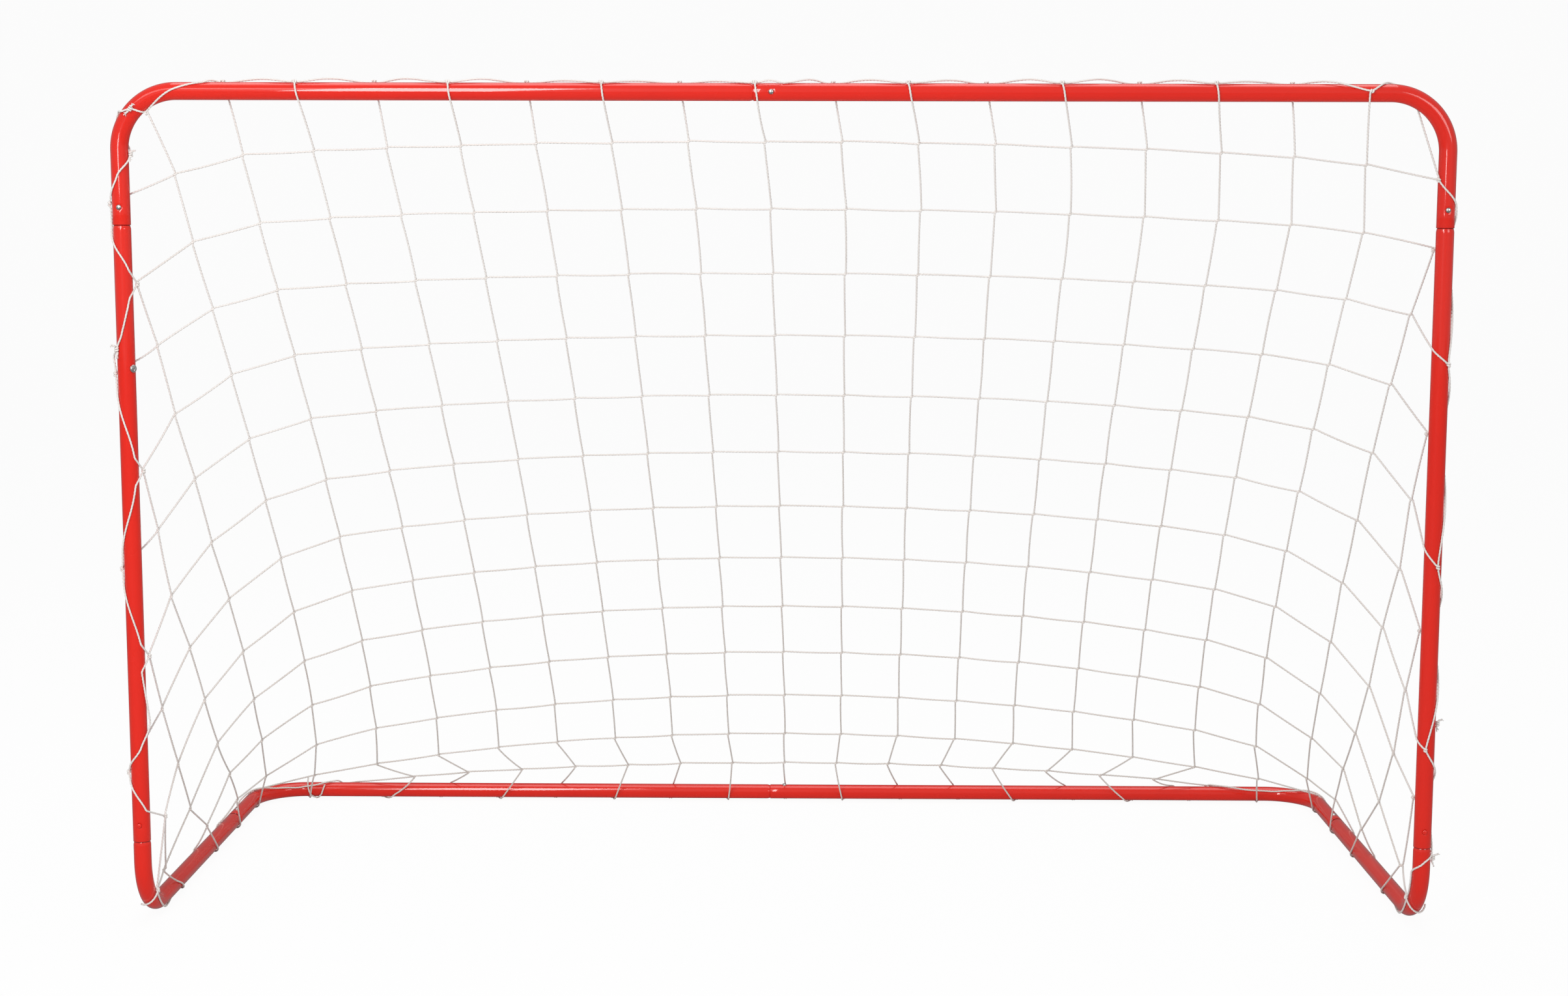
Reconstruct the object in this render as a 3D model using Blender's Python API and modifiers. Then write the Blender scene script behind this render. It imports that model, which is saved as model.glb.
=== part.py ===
"""Knock-down mini goal: swaged steel tubes held by snap buttons, with a knotted net woven on to them.

Metres, +Z up. X runs across the mouth, -Y is the front, and the goal stands on Z = 0.
"""
import math

import bmesh
import bpy
import numpy as np
from mathutils import Matrix, Vector

# Frame
WIDTH = 1.89
HEIGHT = 1.22
DEPTH = 0.765
TUBE_D = 0.025
WALL = 0.0012
BEND = 0.082
TUBE_SIDES = 16
BEND_STEPS = 7

# Sliding joints between the tubes
GAP = 0.0003
SWAGE_LENGTH = 0.050
SHOULDER = 0.0015
NECK_TAPER = 0.004
CROSSBAR_SEAM = -0.040
REAR_SEAM = -0.0265
# The other seams are measured along the tube: below the top bend, above the lower bend, and behind it
UPPER_SEAM = 0.105
LOWER_SEAM = 0.0299
RAIL_SEAM = 0.446

# Snap buttons and their leaf springs
BUTTON_INSET = 0.025
BUTTON_D = 0.007
BUTTON_PROUD = 0.0022
FLANGE_D = 0.009
FLANGE_T = 0.001
BUTTON_CROWN = 0.5
ROUND_STEPS = 12
LEAF_T = 0.0006
LEAF_WIDTH = 0.006
LEAF_REACH = 0.030

# Screw on the left upright
SCREW_Z = 0.818
SCREW_TURN = math.radians(60)
SCREW_HEAD_D = 0.0112
SCREW_HEAD_H = 0.0026
SCREW_SHANK_D = 0.0036
SCREW_DEPTH = 0.009
PAN_POWER = 0.6
PAN_SPAN = math.radians(84)

# Net
TWINE = 0.0028
TWINE_FIT = 0.0008
COLUMNS = 17
CORNER_ROW = 9
FIRST_COLUMN = (0, 0, -1, -1, -2, -2, -3, -3, -4, -3, -2, 0, 1)
REST_BAR = 0.100
REST_EDGE_BAR = 0.085
STAND_OFF = 0.012
LOW_STAND_OFF = 0.042
CORD_LEAD = 0.020
TOP_FIRST = -0.9276
TOP_LAST = 0.964
REAR_FIRST = -0.845
REAR_LAST = 0.846
REAR_BEHIND = (2, 4, 6, 8, 10, 11, 13, 15)

# How the twine is laid and settled
WRAP_STEP = math.radians(60)
LONGEST_STEP = math.radians(78)
LEAST_TURN = math.radians(2)
LEAVE_STEP = math.radians(4)
LEAVE_TRIES = 12
CLOSE_STOPS = 0.008
TOUCH_SLACK = 0.00003
AXIS_SAMPLES = 1500
STRING_SAMPLES = 40
START_SPREAD = 0.9
SLACK_PULL = 0.02
SETTLE_STEPS = 3000
PULL_GAIN = 0.5
KEPT_SPEED = 0.98
MOVE_STEP = 0.3
LONGEST_MITRE = 4

# Share of its rest length that each kind of string has taken on, as a level and how that changes down
# the net, with the square of that, towards both sides, and with both. Down runs from -0.5 to 0.5.
STRETCH = {
    "row": (1.092, -0.278, -0.899, 0.031, 0.331),
    "column": (1.144, 0.069, 0.003, -0.040, 0.368),
    "top": (0.890, 0, 0, 0.193, 0),
    "side_row": (1.132, -0.033, 0, 0, 0),
    "side_column": (1.201, 0.576, 0, 0, 0),
    "low": (1.657, 0, 0, -0.391, 0),
}

# Meshes
MERGE = 0.00005
SHARP = math.radians(40)

ROWS = len(FIRST_COLUMN) + 1
LAST = COLUMNS - 1
RADIUS = TUBE_D / 2
BORE = RADIUS - WALL
MALE = BORE - GAP
MALE_BORE = MALE - WALL
LIFT = TWINE + TWINE_FIT
HALF_X = WIDTH / 2 - RADIUS
FRONT_Y = -(DEPTH - TUBE_D) / 2
REAR_Y = -FRONT_Y
TOP_Z = HEIGHT - RADIUS
LOW_Z = LIFT + RADIUS
ARC = BEND * math.pi / 2
HALF_BAR = HALF_X - BEND
UPRIGHT = TOP_Z - LOW_Z - 2 * BEND
GROUND_RAIL = REAR_Y - FRONT_Y - 2 * BEND
TWINE_RADIUS = RADIUS + TWINE_FIT + TWINE / 2
TURN_RADIUS = TWINE_RADIUS / math.cos(WRAP_STEP / 2)

X_AXIS, Y_AXIS, Z_AXIS = np.eye(3)

# Runs of the frame's left half, from the crossbar's middle round to the rear rail's middle.
# Each has its length, direction of travel, inward direction, side direction, and the net's lean
# from inward to side at its two ends.
RUNS = {
    "crossbar": (HALF_BAR, -X_AXIS, -Z_AXIS, Y_AXIS, 30, 30),
    "top_bend": (ARC, -X_AXIS, -Z_AXIS, Y_AXIS, 30, 76),
    "upright": (UPRIGHT, -Z_AXIS, X_AXIS, Y_AXIS, 76, 76),
    "lower_bend": (ARC, -Z_AXIS, Y_AXIS, X_AXIS, 14, 30),
    "ground_rail": (GROUND_RAIL, Y_AXIS, Z_AXIS, X_AXIS, 30, 30),
    "rear_bend": (ARC, Y_AXIS, X_AXIS, Z_AXIS, 60, 60),
    "rear_rail": (HALF_BAR, X_AXIS, -Y_AXIS, Z_AXIS, 60, 60),
}


def along(run, share=0.0):
    """Distance from the crossbar's middle to a share of the way along a run."""
    distance = 0.0
    for name, values in RUNS.items():
        if name == run:
            return distance + share * values[0]
        distance += values[0]
    raise ValueError(run)


ON_FLOOR = along("ground_rail")
REAR_MIDDLE = along("rear_rail", 1.0)


def frame_point(distance):
    """Axis point, travel direction and net direction on the frame's left half."""
    start = np.array([0.0, FRONT_Y, TOP_Z])
    last = list(RUNS)[-1]
    for name, (length, travel, inward, side, lean_from, lean_to) in RUNS.items():
        curved = name.endswith("bend")
        if distance <= length or name == last:
            break
        distance -= length
        start = start + (BEND * (travel + inward) if curved else length * travel)
    share = min(max(distance / length, 0.0), 1.0)
    lean = math.radians(lean_from + share * (lean_to - lean_from))
    if not curved:
        return start + distance * travel, travel, math.cos(lean) * inward + math.sin(lean) * side
    turn = distance / BEND
    point = start + BEND * (inward + math.sin(turn) * travel - math.cos(turn) * inward)
    onward = math.cos(turn) * travel + math.sin(turn) * inward
    centre = math.cos(turn) * inward - math.sin(turn) * travel
    return point, onward, math.cos(lean) * centre + math.sin(lean) * side


def mirrored(hand, vector):
    """The same vector on the left (-1) or right (1) half of the goal."""
    return np.array([-hand * vector[0], vector[1], vector[2]])


def start_scene():
    """An empty scene with a collection for the goal and one for the shapes that cut it."""
    for item in list(bpy.data.objects):
        bpy.data.objects.remove(item, do_unlink=True)
    goal = bpy.data.collections.new("mini_goal")
    cutters = bpy.data.collections.new("cutters")
    bpy.context.scene.collection.children.link(goal)
    bpy.context.scene.collection.children.link(cutters)
    return goal, cutters


def material(name, colour, roughness, metallic):
    """A plain Principled material."""
    made = bpy.data.materials.new(name)
    made.use_nodes = True
    shader = made.node_tree.nodes["Principled BSDF"]
    shader.inputs["Base Color"].default_value = (*colour, 1.0)
    shader.inputs["Roughness"].default_value = roughness
    shader.inputs["Metallic"].default_value = metallic
    return made


def add_piece(name, mesh, goal, finish):
    """An object for a piece of the goal, shaded smooth over its gentle edges."""
    mesh.materials.append(finish)
    mesh.shade_smooth()
    mesh.set_sharp_from_angle(angle=SHARP)
    made = bpy.data.objects.new(name, mesh)
    goal.objects.link(made)
    return made


def add_cutter(name, mesh, cutters):
    """An object that only cuts others."""
    made = bpy.data.objects.new(name, mesh)
    made.hide_render = True
    made.display_type = "WIRE"
    cutters.objects.link(made)
    return made


def closed_mesh(mesh):
    """The same mesh with its seams welded and its faces pointing out."""
    edit = bmesh.new()
    edit.from_mesh(mesh)
    bmesh.ops.remove_doubles(edit, verts=edit.verts, dist=MERGE)
    bmesh.ops.recalc_face_normals(edit, faces=edit.faces)
    edit.to_mesh(mesh)
    edit.free()
    return mesh


def curve_mesh(curve):
    """A curve's shape as a closed mesh; the curve is used up."""
    holder = bpy.data.objects.new(curve.name, curve)
    bpy.context.scene.collection.objects.link(holder)
    graph = bpy.context.evaluated_depsgraph_get()
    mesh = bpy.data.meshes.new_from_object(holder.evaluated_get(graph))
    bpy.data.objects.remove(holder, do_unlink=True)
    bpy.data.curves.remove(curve)
    return closed_mesh(mesh)


def swept_mesh(name, stations, sides):
    """A closed round bar along points, each with its own radius: a curve turned into a mesh."""
    curve = bpy.data.curves.new(name, "CURVE")
    curve.dimensions = "3D"
    curve.bevel_depth = 1.0
    curve.bevel_resolution = (sides - 4) // 2
    curve.use_fill_caps = True
    spline = curve.splines.new("POLY")
    spline.points.add(len(stations) - 1)
    for point, (place, radius) in zip(spline.points, stations):
        point.co = (*place, 1.0)
        point.radius = radius
    return curve_mesh(curve)


def cut(target, cutter):
    """Take a cutter's shape out of an object."""
    step = target.modifiers.new(cutter.name, "BOOLEAN")
    step.operation = "DIFFERENCE"
    step.solver = "EXACT"
    step.object = cutter


def bend_stops(first, last):
    """Distances where a path follows the bends between two ends."""
    stops = []
    for name in RUNS:
        if name.endswith("bend"):
            stops += [along(name, step / BEND_STEPS) for step in range(BEND_STEPS + 1)]
    return [stop for stop in stops if first < stop < last]


def tube(name, hand, seam_from, seam_to, male_from, male_to, goal, cutters, finish):
    """A tube between two seams; a male end is necked down and runs on into its neighbour."""
    first = seam_from - SWAGE_LENGTH if male_from else seam_from
    last = seam_to + SWAGE_LENGTH if male_to else seam_to
    outside = [(stop, RADIUS) for stop in bend_stops(first, last)]
    inside = [(stop, BORE) for stop in bend_stops(first, last)]
    for seam, end, male, way in ((seam_from, first, male_from, 1), (seam_to, last, male_to, -1)):
        if male:
            neck = seam + way * GAP
            outside += [(end, MALE), (neck, MALE), (neck + way * SHOULDER, RADIUS)]
            inside += [(end - way * WALL, MALE_BORE), (neck + way * SHOULDER, MALE_BORE)]
            inside.append((neck + way * (SHOULDER + NECK_TAPER), BORE))
        else:
            outside.append((end, RADIUS))
            inside.append((end - way * WALL, BORE))

    def placed(stops):
        return [(mirrored(hand, frame_point(stop)[0]), radius) for stop, radius in sorted(stops)]

    body = add_piece(name, swept_mesh(name, placed(outside), TUBE_SIDES), goal, finish)
    cut(body, add_cutter(name + "_bore", swept_mesh(name, placed(inside), TUBE_SIDES), cutters))
    return body


def towards(direction):
    """Turn that takes +Z to a direction."""
    return Vector(direction).to_track_quat("Z", "Y").to_matrix().to_4x4()


def round_cutter(name, centre, direction, diameter, length, cutters):
    """A cylinder from a point outwards, for a hole through one wall."""
    edit = bmesh.new()
    bmesh.ops.create_cone(edit, cap_ends=True, segments=ROUND_STEPS, depth=length,
                          radius1=diameter / 2, radius2=diameter / 2)
    bmesh.ops.translate(edit, verts=edit.verts, vec=(0, 0, length / 2))
    mesh = bpy.data.meshes.new(name)
    edit.to_mesh(mesh)
    edit.free()
    cutter = add_cutter(name, mesh, cutters)
    cutter.matrix_world = Matrix.Translation(centre) @ towards(direction)
    return cutter


def turned(name, profile, centre, direction, goal, finish):
    """A turned piece: radius and height pairs from its top down, spun round its own axis."""
    mesh = bpy.data.meshes.new(name)
    mesh.from_pydata([(radius, 0, height) for radius, height in profile],
                     [(i, i + 1) for i in range(len(profile) - 1)], [])
    made = add_piece(name, mesh, goal, finish)
    spin = made.modifiers.new("spin", "SCREW")
    spin.axis = "Z"
    spin.steps = ROUND_STEPS
    spin.render_steps = ROUND_STEPS
    spin.use_merge_vertices = True
    spin.merge_threshold = MERGE
    spin.use_smooth_shade = True
    made.matrix_world = Matrix.Translation(centre) @ towards(direction)
    return made


def snap_button(name, hand, distance, direction, tubes, goal, cutters, finishes):
    """A round-nosed button through both walls, and the V leaf behind it in the inner tube."""
    centre, travel, _ = frame_point(distance)
    centre = mirrored(hand, centre)
    travel = mirrored(hand, travel)
    hole = round_cutter(name + "_hole", centre, direction, BUTTON_D + 2 * GAP, TUBE_D, cutters)
    for piece in tubes:
        cut(piece, hole)
    radius = BUTTON_D / 2
    flange = FLANGE_D / 2
    nose = RADIUS + BUTTON_PROUD
    seat = math.sqrt(MALE_BORE ** 2 - flange ** 2) - GAP
    crown = BUTTON_CROWN * radius
    dome = [(radius * math.sin(turn), nose - crown + crown * math.cos(turn))
            for turn in np.linspace(0, math.pi / 2, 4)]
    profile = dome + [(radius, seat), (flange, seat), (flange, seat - FLANGE_T), (0.0, seat - FLANGE_T)]
    turned(name, profile, centre, direction, goal, finishes["button"])
    leaf_spring(name + "_spring", centre, travel, direction, seat - FLANGE_T - GAP, goal, finishes)


def leaf_spring(name, centre, travel, direction, top, goal, finishes):
    """A strip folded to a V: its upper leg lies under the button, its lower on the far wall."""
    half = LEAF_T / 2
    floor = -math.sqrt(MALE_BORE ** 2 - (LEAF_WIDTH / 2) ** 2) + GAP
    middle = (top + floor) / 2
    tip = FLANGE_D / 2
    upper = [(tip, top - half), (-tip, top - half)]
    lower = [(-tip, floor + half), (tip, floor + half)]
    bow = [(-LEAF_REACH - LEAF_T * math.sin(turn), middle + LEAF_T * math.cos(turn))
           for turn in np.linspace(0, math.pi, 5)]
    centre_line = [np.array(point) for point in upper + bow + lower]
    sides = []
    for index, point in enumerate(centre_line):
        before = centre_line[max(index - 1, 0)]
        after = centre_line[min(index + 1, len(centre_line) - 1)]
        along_strip = (after - before) / np.linalg.norm(after - before)
        sides.append(np.array([-along_strip[1], along_strip[0]]) * half)
    outline = [p + s for p, s in zip(centre_line, sides)]
    outline += [p - s for p, s in reversed(list(zip(centre_line, sides)))]
    curve = bpy.data.curves.new(name, "CURVE")
    curve.dimensions = "2D"
    curve.fill_mode = "BOTH"
    curve.extrude = LEAF_WIDTH / 2
    spline = curve.splines.new("POLY")
    spline.points.add(len(outline) - 1)
    for point, place in zip(spline.points, outline):
        point.co = (*place, 0.0, 1.0)
    spline.use_cyclic_u = True
    made = add_piece(name, curve_mesh(curve), goal, finishes["spring"])
    across = np.cross(travel, direction)
    columns = Matrix((travel, direction, across)).transposed().to_4x4()
    made.matrix_world = Matrix.Translation(centre) @ columns


def screw(goal, cutters, finish, upright):
    """Pan-head screw through the left upright's inner front."""
    axis_point = np.array([-HALF_X, FRONT_Y, SCREW_Z])
    direction = np.array([math.sin(SCREW_TURN), -math.cos(SCREW_TURN), 0.0])
    cut(upright, round_cutter("screw_hole", axis_point, direction, SCREW_SHANK_D + 2 * GAP, TUBE_D, cutters))
    head = SCREW_HEAD_D / 2
    under = RADIUS + GAP
    dome = [(head * math.sin(turn), under + SCREW_HEAD_H * math.cos(turn) ** PAN_POWER)
            for turn in np.linspace(0, PAN_SPAN, 5)]
    shank = SCREW_SHANK_D / 2
    tip = RADIUS - SCREW_DEPTH
    profile = dome + [(head, under), (shank, under), (shank, tip + shank), (0.0, tip)]
    turned("upright_screw", profile, axis_point, direction, goal, finish)


# Border knots down each side. Each has its row and column in the net, or None for a plain turn of
# the cord, its run and share of the run, its turn round the tube in degrees from the side away
# from the net, and for a knot that only the cord holds its offsets sideways and towards the net.
LEFT_KNOTS = (
    (0, 0, "top_bend", 0.60, 0, None),
    (1, -0.5, "upright", 0.073, -68, None),
    (2, -1, "upright", 0.183, 60, (TWINE_RADIUS, STAND_OFF)),
    (3, -1.5, "upright", 0.307, -68, None),
    (4, -2, "upright", 0.443, 60, (TWINE_RADIUS, STAND_OFF)),
    (5, -2.5, "upright", 0.580, -68, None),
    (6, -3, "upright", 0.706, 60, (TWINE_RADIUS, STAND_OFF)),
    (7, -3.5, "upright", 0.871, -68, None),
    (8, -4, "upright", 0.945, 60, (TWINE_RADIUS, LOW_STAND_OFF)),
    (9, -4.5, "lower_bend", 0.41, 0, None),
    (9.5, -4, "ground_rail", 0.205, 0, None),
    (10, -3.5, "ground_rail", 0.431, 0, None),
    (10.5, -3, "ground_rail", 0.552, 0, None),
    (11, -2.5, "ground_rail", 0.667, 0, None),
    (11.5, -2, "ground_rail", 0.795, 0, None),
    (12, -1, "rear_bend", 0.14, 0, None),
    (13, 0, "rear_rail", 0.0, 0, None),
)
BEHIND = (0.25 * TWINE_RADIUS, RADIUS + STAND_OFF)
RIGHT_KNOTS = (
    (0, LAST, "crossbar", 0.964, 0, None),
    (None, None, "top_bend", 0.04, -60, None),
    (None, None, "top_bend", 0.27, -120, None),
    (1, LAST + 0.5, "upright", 0.037, 75, None),
    (None, None, "upright", 0.071, -45, None),
    (2, LAST + 1, "upright", 0.132, -120, BEHIND),
    (3, LAST + 1.5, "upright", 0.288, -20, None),
    (4, LAST + 2, "upright", 0.387, -120, BEHIND),
    (5, LAST + 2.5, "upright", 0.569, 0, None),
    (6, LAST + 3, "upright", 0.665, -120, BEHIND),
    (7, LAST + 3.5, "upright", 0.828, 30, None),
    (8, LAST + 4, "upright", 0.905, -120, BEHIND),
    (9, LAST + 4.5, "lower_bend", 0.41, 0, None),
    (9.5, LAST + 4, "ground_rail", 0.205, 0, None),
    (10, LAST + 3.5, "ground_rail", 0.431, 0, None),
    (10.5, LAST + 3, "ground_rail", 0.552, 0, None),
    (11, LAST + 2.5, "ground_rail", 0.667, 0, None),
    (11.5, LAST + 2, "ground_rail", 0.795, 0, None),
    (12, LAST + 1, "rear_bend", 0.14, 0, None),
    (13, LAST, "rear_rail", 0.013, 0, None),
)
FRAME_AXIS = np.array([frame_point(stop)[0] for stop in np.linspace(0, REAR_MIDDLE, AXIS_SAMPLES)])


class Lattice:
    """Points of the twine and the straight bars between them."""

    def __init__(self):
        self.places = []
        self.normals = []
        self.mitres = []
        self.bars = []
        self.knots = {}
        self.holds = {}

    def point(self, place, normal=None, mitre=1.0):
        self.places.append(np.array(place, float))
        self.normals.append(normal)
        self.mitres.append(mitre)
        return len(self.places) - 1

    def chain(self, points):
        self.bars += list(zip(points, points[1:]))


def on_tube(hand, distance, turn, radius=TURN_RADIUS):
    """Middle of a twine laid on a tube at a turn from the side away from the net, and outwards."""
    centre, travel, net_way = frame_point(distance)
    out = -math.cos(turn) * net_way + math.sin(turn) * np.cross(travel, net_way)
    return mirrored(hand, centre + radius * out), mirrored(hand, out)


def border_point(lattice, hand, distance, turn):
    """A point of the border cord on the tube; on the floor it lies flat."""
    place, out = on_tube(hand, distance, turn)
    if distance >= ON_FLOOR and turn == 0:
        return lattice.point(place, -Z_AXIS)
    return lattice.point(place, out)


def border_turns(lattice, hand, start, end):
    """Turns of the cord between two stops, each a distance and a turn; half a turn is a free chord."""
    (distance_a, turn_a), (distance_b, turn_b) = start, end
    if abs(turn_b - turn_a) > math.pi:
        return []
    reach = distance_b - distance_a
    steps = max(1, math.ceil((abs(turn_b - turn_a) - LEAST_TURN) / WRAP_STEP))
    stops = [distance_a + reach * step / steps for step in range(1, steps)]
    for stop in bend_stops(distance_a, distance_b)[::2]:
        if min(abs(stop - other) for other in stops + [distance_a, distance_b]) > CLOSE_STOPS:
            stops.append(stop)
    return [border_point(lattice, hand, stop, turn_a + (turn_b - turn_a) * (stop - distance_a) / reach)
            for stop in sorted(stops)]


def border_side(lattice, hand, knots):
    """The border cord down one side, from the crossbar to the rear rail."""
    before = None
    for row, column, run, share, degrees, offsets in knots:
        distance = along(run, share)
        turn = math.radians(degrees)
        lead = CORD_LEAD if offsets else 0.0
        if offsets:
            centre, travel, net_way = frame_point(distance)
            side = np.cross(travel, net_way)
            place = mirrored(hand, centre + offsets[0] * side + offsets[1] * net_way)
            index = lattice.point(place, mirrored(hand, side))
            leads = [border_point(lattice, hand, distance + way * CORD_LEAD, turn) for way in (-1, 1)]
        else:
            index = border_point(lattice, hand, distance, turn)
            leads = []
        if before:
            start, ends = before
            turns = border_turns(lattice, hand, start, (distance - lead, turn))
            lattice.chain(ends + turns + leads[:1] + [index])
        before = (distance + lead, turn), [index] + leads[1:]
        if row is not None:
            lattice.knots[row, column] = index
            lattice.holds[row, column] = (hand, distance, turn, bool(offsets))


def straight_border(lattice):
    """Border knots along the crossbar and the rear rail."""
    middles = range(1, LAST)
    for row, first, last, steps in ((0, TOP_FIRST, TOP_LAST, LAST - 1),
                                    (ROWS, REAR_FIRST, REAR_LAST, LAST - 2)):
        indices = []
        for count, column in enumerate(middles):
            x = HALF_BAR * (first + (last - first) * count / steps)
            hand = -1 if x < 0 else 1
            distance = abs(x) if row == 0 else REAR_MIDDLE - abs(x)
            index = border_point(lattice, hand, distance, 0.0)
            lattice.knots[row, column] = index
            lattice.holds[row, column] = (hand, distance, 0.0, False)
            indices.append(index)
        lattice.chain(indices)
    corners = (((0, 0), (0, 1)), ((0, LAST - 1), (0, LAST)),
               ((ROWS - 1, 0), (ROWS, 1)), ((ROWS, LAST - 1), (ROWS - 1, LAST)))
    for first, second in corners:
        hand, distance_a, _, _ = lattice.holds[first]
        distance_b = lattice.holds[second][1]
        turns = border_turns(lattice, hand, *sorted(((distance_a, 0.0), (distance_b, 0.0))))
        if distance_a > distance_b:
            turns.reverse()
        lattice.chain([lattice.knots[first]] + turns + [lattice.knots[second]])


def wrap_side(row, column, neighbour):
    """Side on which a string leaves the tube: 1 over the front or inside, -1 behind or outside."""
    if row == 0:
        return 1 if column % 2 == 0 else -1
    if row == ROWS:
        return -1 if column in REAR_BEHIND else 1
    if row < CORNER_ROW:
        return -1 if column < 0 else 1
    return -1 if neighbour[0] == row else 1


def wrap_points(lattice, key, knot_place, way):
    """Turns of a string between its border knot and the place where it leaves the tube."""
    hand, distance, turn, _ = lattice.holds[key]
    centre, travel, net_way = frame_point(distance)
    knot_place = mirrored(hand, knot_place)
    reach = knot_place - centre
    sideways = way * float(reach @ np.cross(travel, net_way))
    away = -float(reach @ net_way)
    angle = math.atan2(sideways, away) % (2 * math.pi)
    leave = angle - math.acos(min(1.0, TWINE_RADIUS / math.hypot(sideways, away)))
    for _ in range(LEAVE_TRIES):
        half, turns = even_turns(way * turn, leave)
        last = turns[-1] if turns else way * turn
        radius = TWINE_RADIUS / math.cos(half) if turns else TURN_RADIUS
        if clear_of_tube(on_tube(-1, distance, way * last, radius)[0], knot_place):
            break
        leave += LEAVE_STEP
    points = []
    for at in turns:
        place, out = on_tube(hand, distance, way * at, radius)
        points.append(lattice.point(place, out, 1 / math.cos(half)))
    return points


def even_turns(start, leave):
    """Half step and turns that lay a string round a tube up to the place where it leaves."""
    spare = leave - start - WRAP_STEP / 2
    if spare < LEAST_TURN:
        return 0.0, []
    steps = math.ceil(spare / LONGEST_STEP)
    half = spare / (2 * steps)
    return half, [start + WRAP_STEP / 2 + half * (2 * step + 1) for step in range(steps)]


def clear_of_tube(start, end):
    """Whether a straight string on the left half keeps off the tubes' surface."""
    shares = np.linspace(0, 1, STRING_SAMPLES)[:, None] ** 2
    string = start + shares * (end - start)
    gaps = np.linalg.norm(string[:, None] - FRAME_AXIS[None], axis=2)
    return gaps.min() > TWINE_RADIUS - TOUCH_SLACK


def rest_length(pair, held):
    """Unstretched length of the string between two knots, by its kind and where it lies in the net."""
    kind = "row" if pair[0][0] == pair[1][0] else "column"
    if held and held[0][0] == 0:
        kind = "top"
    elif held and held[0][0] >= CORNER_ROW:
        kind = "low"
    elif held:
        kind = "side_" + kind
    level, slope, curve, spread, twist = STRETCH[kind]
    down = (pair[0][0] + pair[1][0]) / 2 / ROWS - 0.5
    side = ((pair[0][1] + pair[1][1]) / LAST - 1) ** 2
    share = level + slope * down + curve * down ** 2 + spread * side + twist * side * down
    return share * (REST_EDGE_BAR if held else REST_BAR)


def settled(places, free, bars, rests):
    """Places of the knots when every bar pulls as it is stretched past its rest length."""
    places = places.copy()
    speed = np.zeros_like(places)
    ends = np.array(bars)
    rests = np.array(rests)[:, None]
    for _ in range(SETTLE_STEPS):
        reach = places[ends[:, 1]] - places[ends[:, 0]]
        length = np.linalg.norm(reach, axis=1, keepdims=True)
        pull = np.maximum(length - rests, 0) / rests + SLACK_PULL * length / rests
        force = reach / length * pull
        total = np.zeros_like(places)
        np.add.at(total, ends[:, 0], force)
        np.add.at(total, ends[:, 1], -force)
        speed = KEPT_SPEED * speed + PULL_GAIN * REST_BAR * total
        speed[~free] = 0
        places += MOVE_STEP * speed
    return places


def mesh_strings(lattice):
    """Knots of the open net, settled between their borders, and the strings to the border."""
    inner = [(row, column) for row, first in enumerate(FIRST_COLUMN, 1)
             for column in range(first, LAST - first + 1)]
    for row, column in inner:
        share = row / ROWS
        x = START_SPREAD * HALF_BAR * (2 * column / LAST - 1)
        back = START_SPREAD * share * (REAR_Y - FRONT_Y)
        start = (x, FRONT_Y + back, TOP_Z + share * (LOW_Z - TOP_Z))
        lattice.knots[row, column] = lattice.point(start)
    keys = sorted(lattice.knots)
    pairs = []
    for line in {key[0] for key in keys}:
        across = [key for key in keys if key[0] == line]
        if 0 < line < ROWS and line == int(line):
            pairs += list(zip(across, across[1:]))
    for line in {key[1] for key in keys if key[1] == int(key[1])}:
        down = [key for key in keys if key[1] == line]
        pairs += list(zip(down, down[1:]))
    pairs = [pair for pair in pairs if pair[0] in inner or pair[1] in inner]
    free = np.zeros(len(lattice.places), bool)
    free[[lattice.knots[key] for key in inner]] = True
    places = np.array(lattice.places)
    for _ in range(2):
        work = Lattice()
        work.places = list(places)
        work.normals = list(lattice.normals)
        work.mitres = list(lattice.mitres)
        work.holds = lattice.holds
        bars = []
        rests = []
        chains = []
        for pair in pairs:
            held = [key for key in pair if key not in inner]
            start, end = pair if not held or pair[0] in held else pair[::-1]
            turns = []
            if held and not lattice.holds[start][3]:
                target = work.places[lattice.knots[end]]
                turns = wrap_points(work, start, target, wrap_side(*start, end))
            chain = [lattice.knots[start]] + turns + [lattice.knots[end]]
            chains.append(chain)
            bars.append(chain[-2:])
            rests.append(rest_length(pair, held))
        wider = np.zeros(len(work.places), bool)
        wider[:len(free)] = free
        places = settled(np.array(work.places), wider, bars, rests)[:len(free)]
    work.places[:len(free)] = list(places)
    lattice.places, lattice.normals, lattice.mitres = work.places, work.normals, work.mitres
    for chain in chains:
        lattice.chain(chain)


def facing(lattice, index, reaches):
    """The way a knot faces: given, or square to the twine that meets there."""
    if lattice.normals[index] is not None:
        return lattice.normals[index]
    return np.linalg.svd(np.array(reaches))[2][2]


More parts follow.
